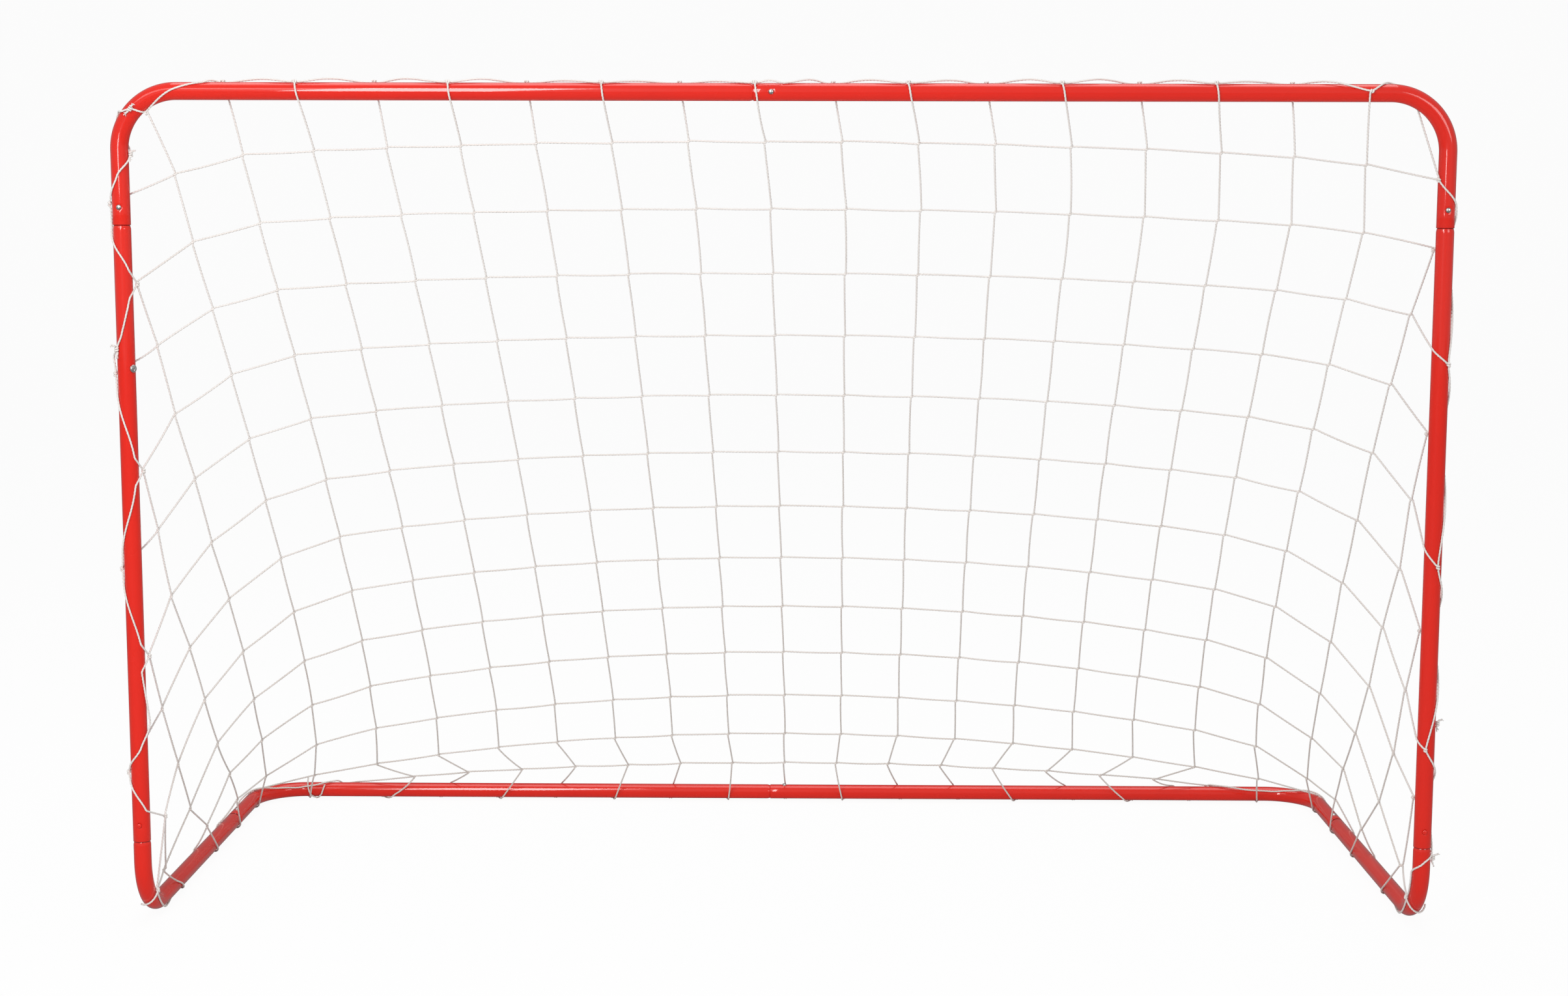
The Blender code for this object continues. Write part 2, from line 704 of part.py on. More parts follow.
def net_mesh(lattice):
    """One closed solid: a flat hub at each point, joined by square bars."""
    half = TWINE / 2
    neighbours = {index: [] for index in range(len(lattice.places))}
    for first, second in lattice.bars:
        neighbours[first].append(second)
        neighbours[second].append(first)
    verts = []
    faces = []
    rings = {}
    for index, others in neighbours.items():
        if not others:
            continue
        place = lattice.places[index]
        reaches = [lattice.places[other] - place for other in others]
        reaches = [reach / np.linalg.norm(reach) for reach in reaches]
        normal = facing(lattice, index, reaches)
        first_way = np.cross(normal, X_AXIS if abs(normal[0]) < 0.9 else Y_AXIS)
        first_way /= np.linalg.norm(first_way)
        second_way = np.cross(normal, first_way)
        angles = [math.atan2(reach @ second_way, reach @ first_way) for reach in reaches]
        order = sorted(range(len(others)), key=angles.__getitem__)
        rise = half * lattice.mitres[index] * normal
        top = []
        bottom = []
        for here, there in zip(order, order[1:] + order[:1]):
            opening = (angles[there] - angles[here]) % (2 * math.pi)
            middle = angles[here] + opening / 2
            reach = half * min(1 / math.sin(opening / 2), LONGEST_MITRE)
            corner = place + reach * (math.cos(middle) * first_way + math.sin(middle) * second_way)
            top.append(len(verts))
            bottom.append(len(verts) + 1)
            verts += [corner + rise, corner - rise]
        for spot, neighbour in enumerate(order):
            rings[index, others[neighbour]] = (top[spot], bottom[spot], bottom[spot - 1], top[spot - 1])
        if len(others) > 2:
            faces += [tuple(top), tuple(reversed(bottom))]
    points = np.array(verts)
    for first, second in lattice.bars:
        near = rings[first, second]
        far = rings[second, first][::-1]
        shifts = [far[shift:] + far[:shift] for shift in range(4)]
        far = min(shifts, key=lambda ring: np.sum((points[list(ring)] - points[list(near)]) ** 2))
        faces += [(near[k], near[(k + 1) % 4], far[(k + 1) % 4], far[k]) for k in range(4)]
    mesh = bpy.data.meshes.new("net")
    mesh.from_pydata([tuple(vert) for vert in verts], [], faces)
    return closed_mesh(mesh)


def net(goal, finish):
    """The whole net with its border cord."""
    lattice = Lattice()
    border_side(lattice, -1, LEFT_KNOTS)
    border_side(lattice, 1, RIGHT_KNOTS)
    straight_border(lattice)
    mesh_strings(lattice)
    add_piece("net", net_mesh(lattice), goal, finish)


def frame_tubes(goal, cutters, finish):
    """Eight tubes: two top corners, two uprights, two feet and two ground pieces."""
    upper = along("upright") + UPPER_SEAM
    lower = along("lower_bend") - LOWER_SEAM
    rail = along("ground_rail") + RAIL_SEAM
    pieces = {}
    for side, hand in (("left", -1), ("right", 1)):
        left = hand < 0
        top_seam = hand * CROSSBAR_SEAM
        rear_seam = REAR_MIDDLE - hand * REAR_SEAM
        for name, start, end, male_from, male_to in (
                ("crossbar_" + side, top_seam, upper, left, False),
                ("upright_" + side, upper, lower, True, False),
                ("foot_" + side, lower, rail, True, True),
                ("base_" + side, rail, rear_seam, False, left)):
            pieces[name] = tube(name, hand, start, end, male_from, male_to, goal, cutters, finish)
    return pieces, upper, lower, rail


def main():
    goal, cutters = start_scene()
    red = material("red_paint", (0.80, 0.045, 0.03), 0.25, 0.0)
    steel = material("zinc_steel", (0.62, 0.62, 0.60), 0.30, 1.0)
    twine = material("white_twine", (0.83, 0.82, 0.78), 0.85, 0.0)
    finishes = {"button": steel, "spring": steel}
    pieces, upper, lower, rail = frame_tubes(goal, cutters, red)
    snap_button("crossbar_button", 1, CROSSBAR_SEAM + BUTTON_INSET, -Y_AXIS,
                (pieces["crossbar_left"], pieces["crossbar_right"]), goal, cutters, finishes)
    snap_button("rear_button", 1, REAR_MIDDLE - REAR_SEAM - BUTTON_INSET, Z_AXIS,
                (pieces["base_left"], pieces["base_right"]), goal, cutters, finishes)
    for side, hand in (("left", -1), ("right", 1)):
        for name, distance, direction, pair in (
                ("upper_button_", upper - BUTTON_INSET, -Y_AXIS, ("crossbar_", "upright_")),
                ("lower_button_", lower - BUTTON_INSET, -Y_AXIS, ("upright_", "foot_")),
                ("rail_button_", rail + BUTTON_INSET, Z_AXIS, ("foot_", "base_"))):
            snap_button(name + side, hand, distance, direction,
                        [pieces[part + side] for part in pair], goal, cutters, finishes)
    screw(goal, cutters, steel, pieces["upright_left"])
    net(goal, twine)


main()
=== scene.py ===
import math

import bmesh
import bpy
import numpy as np
from mathutils import Matrix, Vector


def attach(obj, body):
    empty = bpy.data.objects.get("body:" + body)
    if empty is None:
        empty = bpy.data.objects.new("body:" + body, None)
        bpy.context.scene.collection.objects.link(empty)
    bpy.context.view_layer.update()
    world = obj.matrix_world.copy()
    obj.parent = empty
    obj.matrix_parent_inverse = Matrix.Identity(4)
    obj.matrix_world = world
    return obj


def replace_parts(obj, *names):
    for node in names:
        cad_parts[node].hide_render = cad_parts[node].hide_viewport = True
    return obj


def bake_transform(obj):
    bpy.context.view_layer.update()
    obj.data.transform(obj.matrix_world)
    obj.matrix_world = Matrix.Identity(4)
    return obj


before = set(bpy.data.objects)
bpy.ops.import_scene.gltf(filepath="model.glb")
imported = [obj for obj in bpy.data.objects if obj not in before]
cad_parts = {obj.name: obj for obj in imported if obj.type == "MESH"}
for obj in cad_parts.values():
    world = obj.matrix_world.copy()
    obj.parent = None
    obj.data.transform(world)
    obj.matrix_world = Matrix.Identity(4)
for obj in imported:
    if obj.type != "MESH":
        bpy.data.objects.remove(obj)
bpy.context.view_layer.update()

# The studio. A white floor sweeps up into a backdrop. A tall strip lamp beside the camera draws the
# white line on the crossbar, and soft boxes fill in from both sides and above. The camera stands
# 3.3 m in front of the mouth, 1 m up.
CAMERA_PLACE = (0.0378, -3.6438, 1.0456)
CAMERA_YAW = -0.01026
CAMERA_PITCH = 0.12465
CAMERA_ROLL = 0.0022996
LENS_MM = 52.98
FILM_MM = 36.0
QUARTER = math.pi / 2

studio = bpy.context.scene
link = studio.collection.objects.link
camera_data = bpy.data.cameras.new("camera")
camera_data.lens = LENS_MM
camera_data.sensor_width = FILM_MM
camera = bpy.data.objects.new("camera", camera_data)
camera.matrix_world = (
    Matrix.Translation(CAMERA_PLACE) @ Matrix.Rotation(-CAMERA_YAW, 4, "Z")
    @ Matrix.Rotation(QUARTER - CAMERA_PITCH, 4, "X") @ Matrix.Rotation(CAMERA_ROLL, 4, "Z"))
link(camera)
studio.camera = camera
studio.view_settings.view_transform = "Standard"


class Value:
    """A shader number: arithmetic on it adds Math nodes."""

    def __init__(self, finish, socket):
        self.finish = finish
        self.socket = socket

    def made(self, operation, first, second):
        return self.finish.node("ShaderNodeMath", {"operation": operation}, {0: first, 1: second})

    __add__ = __radd__ = lambda self, other: self.made("ADD", self, other)
    __mul__ = __rmul__ = lambda self, other: self.made("MULTIPLY", self, other)
    __sub__ = lambda self, other: self.made("SUBTRACT", self, other)
    __rsub__ = lambda self, other: self.made("SUBTRACT", other, self)


class Finish:
    """A material and the few calls that build one."""

    def __init__(self, name, **fixed):
        self.material = bpy.data.materials.new(name)
        self.material.use_nodes = True
        self.tree = self.material.node_tree
        self.shader = self.tree.nodes["Principled BSDF"]
        for socket, value in fixed.items():
            self.surface(socket.replace("_", " "), value)
        self.place = self.node("ShaderNodeTexCoord", {}, {}, "Object")

    def node(self, kind, settings, sockets, output=0):
        """A node with its settings made first, then the values or links of its sockets."""
        made = self.tree.nodes.new(kind)
        for name, value in settings.items():
            setattr(made, name, value)
        for socket, value in sockets.items():
            self.feed(made.inputs[socket], value)
        return Value(self, made.outputs[output])

    def feed(self, socket, value):
        if isinstance(value, Value):
            self.tree.links.new(value.socket, socket)
        else:
            socket.default_value = value

    def surface(self, socket, value):
        self.feed(self.shader.inputs[socket], value)

    def coordinate(self, axis):
        return self.node("ShaderNodeSeparateXYZ", {}, {0: self.place}, axis)

    def noise(self, scale, detail=2.0, roughness=0.5, place=None):
        return self.node("ShaderNodeTexNoise", {}, {"Vector": place or self.place, "Scale": scale,
                                                    "Detail": detail, "Roughness": roughness})

    def between(self, value, low, high, first=0.0, last=1.0):
        """A value's share of the way from low to high, smoothed, spread from first to last."""
        return self.node("ShaderNodeMapRange", {"interpolation_type": "SMOOTHSTEP"},
                         {0: value, 1: low, 2: high, 3: first, 4: last})

    def blend(self, share, first, second):
        """A colour that goes from the first to the second with a share."""
        return self.node("ShaderNodeMix", {"data_type": "RGBA"}, {0: share, 6: first, 7: second}, 2)

    def shine(self, share, mirrored_level):
        """Plain white by that share where it is seen, and a dimmer grey where glossy paint mirrors it."""
        camera_ray, through, glossy = (self.node("ShaderNodeLightPath", {}, {}, name) for name in (
            "Is Camera Ray", "Is Transmission Ray", "Is Glossy Ray"))
        surface = Value(self, self.shader.outputs[0])
        for seen, level in (((camera_ray + through) * share, 1.0), (glossy * share, mirrored_level)):
            shade = self.node("ShaderNodeEmission", {}, {"Color": (level, level, level, 1.0)})
            surface = self.node("ShaderNodeMixShader", {}, {0: seen, 1: surface, 2: shade})
        self.feed(self.tree.nodes["Material Output"].inputs["Surface"], surface)

    def bump(self, height, distance, strength):
        self.surface("Normal", self.node("ShaderNodeBump", {}, {
            "Height": height, "Distance": distance, "Strength": strength}))


def mesh_object(name, verts, faces, finish):
    """An object at the origin for points and faces that are already in place."""
    mesh = bpy.data.meshes.new(name)
    mesh.from_pydata(verts.reshape(-1, 3).tolist(), [], faces.tolist())
    mesh.update()
    mesh.shade_smooth()
    mesh.materials.append(finish.material)
    made = bpy.data.objects.new(name, mesh)
    link(made)
    return made


def grid_faces(rows, columns, wrap_rows=False, wrap_columns=True):
    """Four-sided faces between neighbouring rows and columns of a grid of points."""
    row = np.arange(rows if wrap_rows else rows - 1)[:, None]
    column = np.arange(columns if wrap_columns else columns - 1)
    here, below = row * columns, (row + 1) % rows * columns
    beside = (column + 1) % columns
    return np.stack((here + column, here + beside, below + beside, below + column), -1).reshape(-1, 4)


PAPER_SHINE = 0.95
PAPER_MIRRORED = 0.20
FLOOR_REACH = 14.0
FLOOR_FRONT = -12.0
BACKDROP_Y = 11.0
BACKDROP_TOP = 9.0
SWEEP_RADIUS = 2.0
SWEEP_STEPS = 24

turn = np.linspace(0, QUARTER, SWEEP_STEPS)
sweep_y = [FLOOR_FRONT, *(BACKDROP_Y - SWEEP_RADIUS + SWEEP_RADIUS * np.sin(turn)), BACKDROP_Y]
sweep_z = [0.0, *(SWEEP_RADIUS - SWEEP_RADIUS * np.cos(turn)), BACKDROP_TOP]
sweep = np.array([(x, y, z) for y, z in zip(sweep_y, sweep_z) for x in (-FLOOR_REACH, FLOOR_REACH)])
paper = Finish("white_paper", Roughness=0.9, Specular_IOR_Level=0.0)
paper.surface("Base Color", paper.blend(paper.noise(0.4), (0.80, 0.80, 0.80, 1.0), (0.82, 0.82, 0.82, 1.0)))
paper.shine(PAPER_SHINE, PAPER_MIRRORED)
mesh_object("floor", sweep, grid_faces(len(sweep_y), 2, wrap_columns=False), paper)

# The air lights the goal softly, and is plain white where the camera sees past the paper.
AIR_LIGHT = 0.42

world = bpy.data.worlds.new("studio")
world.use_nodes = True
studio.world = world
air, join = world.node_tree.nodes, world.node_tree.links.new
either = air.new("ShaderNodeMixShader")
join(air.new("ShaderNodeLightPath").outputs["Is Camera Ray"], either.inputs[0])
join(either.outputs[0], air["World Output"].inputs["Surface"])
for socket, shade, light in ((1, air["Background"], AIR_LIGHT), (2, air.new("ShaderNodeBackground"), 1.0)):
    shade.inputs["Color"].default_value = (1.0, 1.0, 1.0, 1.0)
    shade.inputs["Strength"].default_value = light
    join(shade.outputs[0], either.inputs[socket])


def lamp(name, place, aim, width, height, power, lean=0.0):
    """A soft box that faces a point, its top leaning to the right by an angle."""
    data = bpy.data.lights.new(name, "AREA")
    data.shape = "RECTANGLE"
    data.size = width
    data.size_y = height
    data.energy = power
    made = bpy.data.objects.new(name, data)
    facing = (Vector(place) - Vector(aim)).to_track_quat("Z", "Y").to_matrix().to_4x4()
    made.matrix_world = Matrix.Translation(place) @ facing @ Matrix.Rotation(-lean, 4, "Z")
    link(made)


lamp("strip_box", (-1.0, -3.25, 1.985), (-1.0, -0.37, -0.08), 0.62, 2.3, 55, math.radians(10))
lamp("key_box", (-2.6, -4.2, 3.4), (0.0, 0.0, 0.5), 2.6, 1.2, 26)
lamp("fill_box", (3.0, -4.0, 2.2), (0.0, 0.0, 0.5), 1.8, 1.4, 34)
lamp("top_box", (0.0, 0.6, 4.6), (0.0, 0.0, 0.0), 4.0, 3.0, 78)

# The frame's line. Eight bent steel tubes make one closed loop: along the crossbar, down each
# upright, back along each ground rail and across behind. Both halves are alike, so one line from
# the crossbar's middle to the rear rail's middle serves the left, and its mirror image the right.
WIDTH = 1.89
HEIGHT = 1.22
DEPTH = 0.765
TUBE_D = 0.025
BEND = 0.082
TWINE = 0.0028
TWINE_FIT = 0.0008
RADIUS = TUBE_D / 2
HALF_X = WIDTH / 2 - RADIUS
FRONT_Y = -(DEPTH - TUBE_D) / 2
REAR_Y = -FRONT_Y
TOP_Z = HEIGHT - RADIUS
LOW_Z = TWINE + TWINE_FIT + RADIUS
ARC = BEND * QUARTER
HALF_BAR = HALF_X - BEND
X_AXIS, Y_AXIS, Z_AXIS = np.eye(3)
SIDES = (("left", -1), ("right", 1))

# Each run has its length, direction of travel, inward and side directions, and the net's lean in
# degrees from inward to side at its two ends.
RUNS = {
    "crossbar": (HALF_BAR, -X_AXIS, -Z_AXIS, Y_AXIS, 30, 30),
    "top_bend": (ARC, -X_AXIS, -Z_AXIS, Y_AXIS, 30, 76),
    "upright": (TOP_Z - LOW_Z - 2 * BEND, -Z_AXIS, X_AXIS, Y_AXIS, 76, 76),
    "lower_bend": (ARC, -Z_AXIS, Y_AXIS, X_AXIS, 14, 30),
    "ground_rail": (REAR_Y - FRONT_Y - 2 * BEND, Y_AXIS, Z_AXIS, X_AXIS, 30, 30),
    "rear_bend": (ARC, Y_AXIS, X_AXIS, Z_AXIS, 60, 60),
    "rear_rail": (HALF_BAR, X_AXIS, -Y_AXIS, Z_AXIS, 60, 60),
}


def along(run, share=0.0):
    """Distance from the crossbar's middle to a share of the way along a run."""
    names = list(RUNS)
    before = sum(RUNS[name][0] for name in names[:names.index(run)])
    return before + share * RUNS[run][0]


REAR_MIDDLE = along("rear_rail", 1.0)
ON_FLOOR = along("ground_rail")


def frame_line(distance):
    """Axis points, travel and net directions of the left half at distances.

    A straight run is its start plus distance times travel. A bend of radius B is its start plus
    B times (inward + sin a travel - cos a inward), with a the distance over B. Each run fills in
    all that lies past its start, and the first also what lies before it.
    """
    distance = np.array(distance, float, ndmin=1)
    places, travels, net_ways = np.zeros((3, len(distance), 3))
    start = np.array([0.0, FRONT_Y, TOP_Z])
    begun = 0.0
    for name, (length, travel, inward, side, lean_from, lean_to) in RUNS.items():
        here = distance > (begun or -np.inf)
        on = (distance[here] - begun)[:, None]
        lean = np.radians(lean_from + np.clip(on / length, 0, 1) * (lean_to - lean_from))
        if name.endswith("bend"):
            turn = on / BEND
            places[here] = start + BEND * (inward + np.sin(turn) * travel - np.cos(turn) * inward)
            travels[here] = np.cos(turn) * travel + np.sin(turn) * inward
            centre = np.cos(turn) * inward - np.sin(turn) * travel
            start = start + BEND * (travel + inward)
        else:
            places[here] = start + on * travel
            travels[here] = travel
            centre = inward
            start = start + length * travel
        net_ways[here] = np.cos(lean) * centre + np.sin(lean) * side
        begun += length
    return places, travels, net_ways


def mirrored(hand, points):
    """The same points on the left (-1) or right (1) half of the goal."""
    return points * np.array([-hand, 1.0, 1.0])


# The tubes. Welded mild steel, 25 mm across with a 1.2 mm wall, bent cold and powder coated red.
# One end of each joint is swaged down and slides 50 mm into its neighbour, and a hole pressed
# through both walls lets the snap button out.
WALL = 0.0012
GAP = 0.0003
SWAGE = 0.050
NECK = 0.0055
NECK_DROP = 0.0009
NECK_RINGS = 15
NECK_LEAD = 0.002
CROSSBAR_SEAM = -0.040
REAR_SEAM = -0.0265
UPPER_SEAM = 0.105
LOWER_SEAM = 0.0299
RAIL_SEAM = 0.446
BUTTON_INSET = 0.025
BUTTON_D = 0.007
TUBE_SIDES = 48
SIDE_TURN = 2 * math.pi / TUBE_SIDES
BEND_RINGS = 44
HOLE = BUTTON_D / 2 + GAP
HOLE_WINDOW = 0.0066
WINDOW_RINGS = 12
WINDOW_COLUMNS = round(HOLE_WINDOW / RADIUS / SIDE_TURN)
# Rings round a hole: share of the way in from its window, and how far each has sunk, in dimples.
DIMPLE = 0.00045
OUTER_RINGS = ((0.35, 0.05), (0.6, 0.3), (0.8, 0.75), (0.93, 1.0), (1.0, 1.25), (1.0, 2.2))
BORE_RINGS = (1.0, 0.6, 0.3)
LIP = 0.00035
LIP_TURNS = (90, 45, 0)
BORE = RADIUS - WALL
MALE = BORE - GAP
MALE_BORE = MALE - WALL
LEAST_WALL = 0.8 * WALL
PAINT_RED = (0.72, 0.018, 0.008, 1.0)
PAINT_DEEP = (0.63, 0.012, 0.006, 1.0)
PAINT_SHADE = (0.22, 0.003, 0.003, 1.0)
PEEL_HEIGHT = 0.00012
SHADE_FROM = 0.0003
SHADE_TO = 0.0013

upper = along("upright") + UPPER_SEAM
lower = along("lower_bend") - LOWER_SEAM
rail = along("ground_rail") + RAIL_SEAM

paint = Finish("red_powder_coat", Coat_Roughness=0.04, Coat_IOR=1.5, Specular_IOR_Level=0.1)
cloudy = paint.between(paint.noise(6.0, 3.0), 0.30, 0.75)
rubbed = paint.between(paint.noise(55.0, 6.0, 0.65), 0.66, 0.78)
# Dust and shade darken the paint at the seams of the uprights and ground rails.
seam_shade = 0.0
for seam, axis in ((upper, 2), (lower, 2), (rail, 1)):
    reach = paint.coordinate(axis) - float(frame_line(seam)[0][0, axis])
    reach = paint.node("ShaderNodeMath", {"operation": "ABSOLUTE"}, {0: reach})
    seam_shade = paint.between(reach, SHADE_FROM, SHADE_TO, 1.0, 0.0) + seam_shade
red = paint.blend(cloudy * 0.35, PAINT_RED, PAINT_DEEP)
paint.surface("Base Color", paint.blend(seam_shade * 0.8, red, PAINT_SHADE))
paint.surface("Roughness", 0.26 + cloudy * 0.08 + rubbed * 0.22)
paint.surface("Coat Weight", 1.0 - rubbed * 0.3)
paint.bump(paint.noise(420.0) + 0.6 * paint.noise(130.0, 1.0), PEEL_HEIGHT, 0.35)


def closed_up(made):
    """Weld a mesh where its points meet, turn its faces outwards and keep its corners sharp."""
    edit = bmesh.new()
    edit.from_mesh(made.data)
    bmesh.ops.remove_doubles(edit, verts=edit.verts, dist=0.000002)
    bmesh.ops.recalc_face_normals(edit, faces=edit.faces)
    edit.to_mesh(made.data)
    edit.free()
    made.data.set_sharp_from_angle(angle=math.radians(50))


def tube(name, hand, seams, males, plane, holes):
    """A tube: a closed profile of distance and radius carried along the frame's line.

    Ring point = axis + radius (cos a plane + sin a travel x plane). The outer skin runs from the
    first end to the last, the bore runs back, and each hole's rim joins the two skins.
    """
    first = seams[0] - SWAGE * males[0]
    last = seams[1] + SWAGE * males[1]
    stops = []
    for run in ("top_bend", "lower_bend", "rear_bend"):
        stops += list(along(run, np.linspace(0, 1, BEND_RINGS)))
    for seam, male, way in zip(seams, males, (1, -1)):
        if male:
            stops += list(seam + way * np.linspace(-NECK_LEAD, 1.5 * NECK, NECK_RINGS))
    for distance, _ in holes:
        stops = [stop for stop in stops if abs(stop - distance) > HOLE_WINDOW]
        stops += list(distance + np.linspace(-HOLE_WINDOW, HOLE_WINDOW, WINDOW_RINGS + 1))
    stops = np.unique(np.round([stop for stop in stops if first + LIP < stop < last - LIP], 6))

    def skin(distance, wide, narrow):
        """Full radius between the seams, eased down over the neck to the swaged radius."""
        share = np.ones_like(distance)
        inside = np.zeros_like(distance, bool)
        for male, past in zip(males, (distance - seams[0], seams[1] - distance)):
            if male:
                share = share * np.clip((past - GAP) / NECK, 0, 1)
                inside |= past < GAP
        return np.where(inside, narrow, wide - NECK_DROP * (1 - share * share * (3 - 2 * share)))

    lip_in = LIP * (1 - np.sin(np.radians(LIP_TURNS)))
    lip_down = LIP * (1 - np.cos(np.radians(LIP_TURNS)))
    there = np.concatenate((first + lip_in, stops, last - lip_in[::-1]))
    lip = np.concatenate((lip_down, np.zeros(len(stops)), lip_down[::-1]))
    outer = skin(there, RADIUS, MALE)
    bore = np.minimum(skin(there, BORE, MALE_BORE), outer - LEAST_WALL)
    distances = np.concatenate((there, there[::-1]))
    radii = np.concatenate((outer - lip, (bore + lip)[::-1]))

    def placed(distance, angle, radius):
        centre, travel = (mirrored(hand, part) for part in frame_line(distance)[:2])
        angle, radius = angle[:, None], radius[:, None]
        return centre + radius * (np.cos(angle) * plane + np.sin(angle) * np.cross(travel, plane))

    count = len(distances)
    verts = placed(np.repeat(distances, TUBE_SIDES), np.tile(np.arange(TUBE_SIDES) * SIDE_TURN, count),
                   np.repeat(radii, TUBE_SIDES))
    faces = grid_faces(count, TUBE_SIDES, wrap_rows=True)
    face_row, face_column = np.divmod(np.arange(len(faces)), TUBE_SIDES)
    skin_row = np.minimum(face_row, count - 2 - face_row)
    kept = np.ones(len(faces), bool)
    rims = []
    for distance, turn in holes:
        low = int(np.argmin(abs(there - (distance - HOLE_WINDOW))))
        rows = np.arange(low, low + WINDOW_RINGS + 1)
        columns = np.arange(-WINDOW_COLUMNS, WINDOW_COLUMNS + 1) + round(turn / SIDE_TURN)
        loop = ([(rows[0], c) for c in columns[:-1]] + [(r, columns[-1]) for r in rows[:-1]]
                + [(rows[-1], c) for c in columns[:0:-1]] + [(r, columns[0]) for r in rows[:0:-1]])
        loop_rows, loop_columns = np.array(loop).T
        spread = (face_column - columns[0]) % TUBE_SIDES < 2 * WINDOW_COLUMNS
        kept &= ~(spread & (skin_row >= low) & (skin_row < low + WINDOW_RINGS))
        edge_s = distances[loop_rows]
        edge_a = loop_columns * SIDE_TURN
        way = np.arctan2((edge_a - turn) * RADIUS, edge_s - distance)
        rings = [(share, radii[loop_rows] - DIMPLE * sink) for share, sink in OUTER_RINGS]
        rings += [(share, radii[count - 1 - loop_rows] - DIMPLE * share ** 2) for share in BORE_RINGS]
        loops = [loop_rows * TUBE_SIDES + loop_columns % TUBE_SIDES]
        for share, radius in rings:
            s = edge_s + share * (distance + HOLE * np.cos(way) - edge_s)
            a = edge_a + share * (turn + HOLE * np.sin(way) / RADIUS - edge_a)
            loops.append(len(verts) + np.arange(len(way)))
            verts = np.concatenate((verts, placed(s, a, radius)))
        loops.append((count - 1 - loop_rows) * TUBE_SIDES + loop_columns % TUBE_SIDES)
        rims.append(np.concatenate(loops)[grid_faces(len(loops), len(way))])
    made = mesh_object(name + "_tube", verts, np.concatenate((faces[kept], *rims)), paint)
    closed_up(made)
    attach(made, "frame")
    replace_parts(made, name)


# Each tube has a seam and a snap at both ends, and some of its ends are male.
for side, hand in SIDES:
    left = hand < 0
    seams = (hand * CROSSBAR_SEAM, upper, lower, rail, REAR_MIDDLE - hand * REAR_SEAM)
    snaps = (hand * (CROSSBAR_SEAM + BUTTON_INSET), upper - BUTTON_INSET, lower - BUTTON_INSET,
             rail + BUTTON_INSET, REAR_MIDDLE - hand * (REAR_SEAM + BUTTON_INSET))
    for place, (name, males, plane, turns) in enumerate((
            ("crossbar_", (left, False), -Y_AXIS, (0, 0)), ("upright_", (True, False), -Y_AXIS, (0, 0)),
            ("foot_", (True, True), X_AXIS, (QUARTER, -QUARTER)), ("base_", (False, left), Z_AXIS, (0, 0)))):
        ends = slice(place, place + 2)
        tube(name + side, hand, seams[ends], males, plane, tuple(zip(snaps[ends], turns)))

# The snap buttons. Zinc-plated steel, turned with a domed nose and a flange that stops against the
# bore. The two lower ones were coated with the tubes.
BUTTON_PROUD = 0.0022
FLANGE_R = 0.0045
FLANGE_T = 0.001
FLANGE_SEAT = math.sqrt(MALE_BORE ** 2 - FLANGE_R ** 2) - GAP
EDGE = 0.0004
ROUND_SIDES = 48
DOME_STEPS = 14
ZINC_DARK = (0.60, 0.60, 0.58, 1.0)
ZINC_LIGHT = (0.74, 0.74, 0.73, 1.0)
SPECK_HEIGHT = 0.00003

zinc = Finish("zinc_plate", Metallic=1.0)
speck = zinc.noise(900.0, 3.0)
zinc.surface("Base Color", zinc.blend(speck, ZINC_DARK, ZINC_LIGHT))
zinc.surface("Roughness", 0.20 + 0.22 * zinc.noise(260.0, 3.0))
zinc.bump(speck, SPECK_HEIGHT, 0.4)


def snap_button(name, hand, distance, direction):
    """Nose, shank and flange of one button: radius and height pairs spun round its axis.

    Point = centre + height direction + radius (cos a across + sin a direction x across).
    """
    centre = mirrored(hand, frame_line(distance)[0])[0]
    shank = BUTTON_D / 2
    turn = np.linspace(0, QUARTER, DOME_STEPS)
    dome = np.column_stack((shank * np.sin(turn),
                            RADIUS + BUTTON_PROUD - shank / 2 + shank / 2 * np.cos(turn)))
    foot = np.array((0, FLANGE_SEAT)) + ((shank, EDGE), (shank + EDGE, 0), (FLANGE_R - EDGE / 2, 0),
                                         (FLANGE_R, -EDGE / 2), (FLANGE_R, -FLANGE_T), (0, -FLANGE_T))
    radius, height = np.concatenate((dome, foot)).T[..., None, None]
    across = np.cross(direction, X_AXIS)
    angle = (np.arange(ROUND_SIDES) * 2 * math.pi / ROUND_SIDES)[:, None]
    ring = np.cos(angle) * across + np.sin(angle) * np.cross(direction, across)
    points = centre + height * direction + radius * ring
    made = mesh_object(name + "_turned", points, grid_faces(len(height), ROUND_SIDES),
                       paint if name.startswith("lower") else zinc)
    closed_up(made)
    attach(made, name.replace("button", "catch"))
    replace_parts(made, name)


# Each button's name, the half it is on, its distance along the line and the way it points.
BUTTONS = [("crossbar_button", 1, CROSSBAR_SEAM + BUTTON_INSET, -Y_AXIS),
           ("rear_button", 1, REAR_MIDDLE - REAR_SEAM - BUTTON_INSET, Z_AXIS)]
for side, hand in SIDES:
    BUTTONS += [("upper_button_" + side, hand, upper - BUTTON_INSET, -Y_AXIS),
                ("lower_button_" + side, hand, lower - BUTTON_INSET, -Y_AXIS),
                ("rail_button_" + side, hand, rail + BUTTON_INSET, Z_AXIS)]
for button in BUTTONS:
    snap_button(*button)

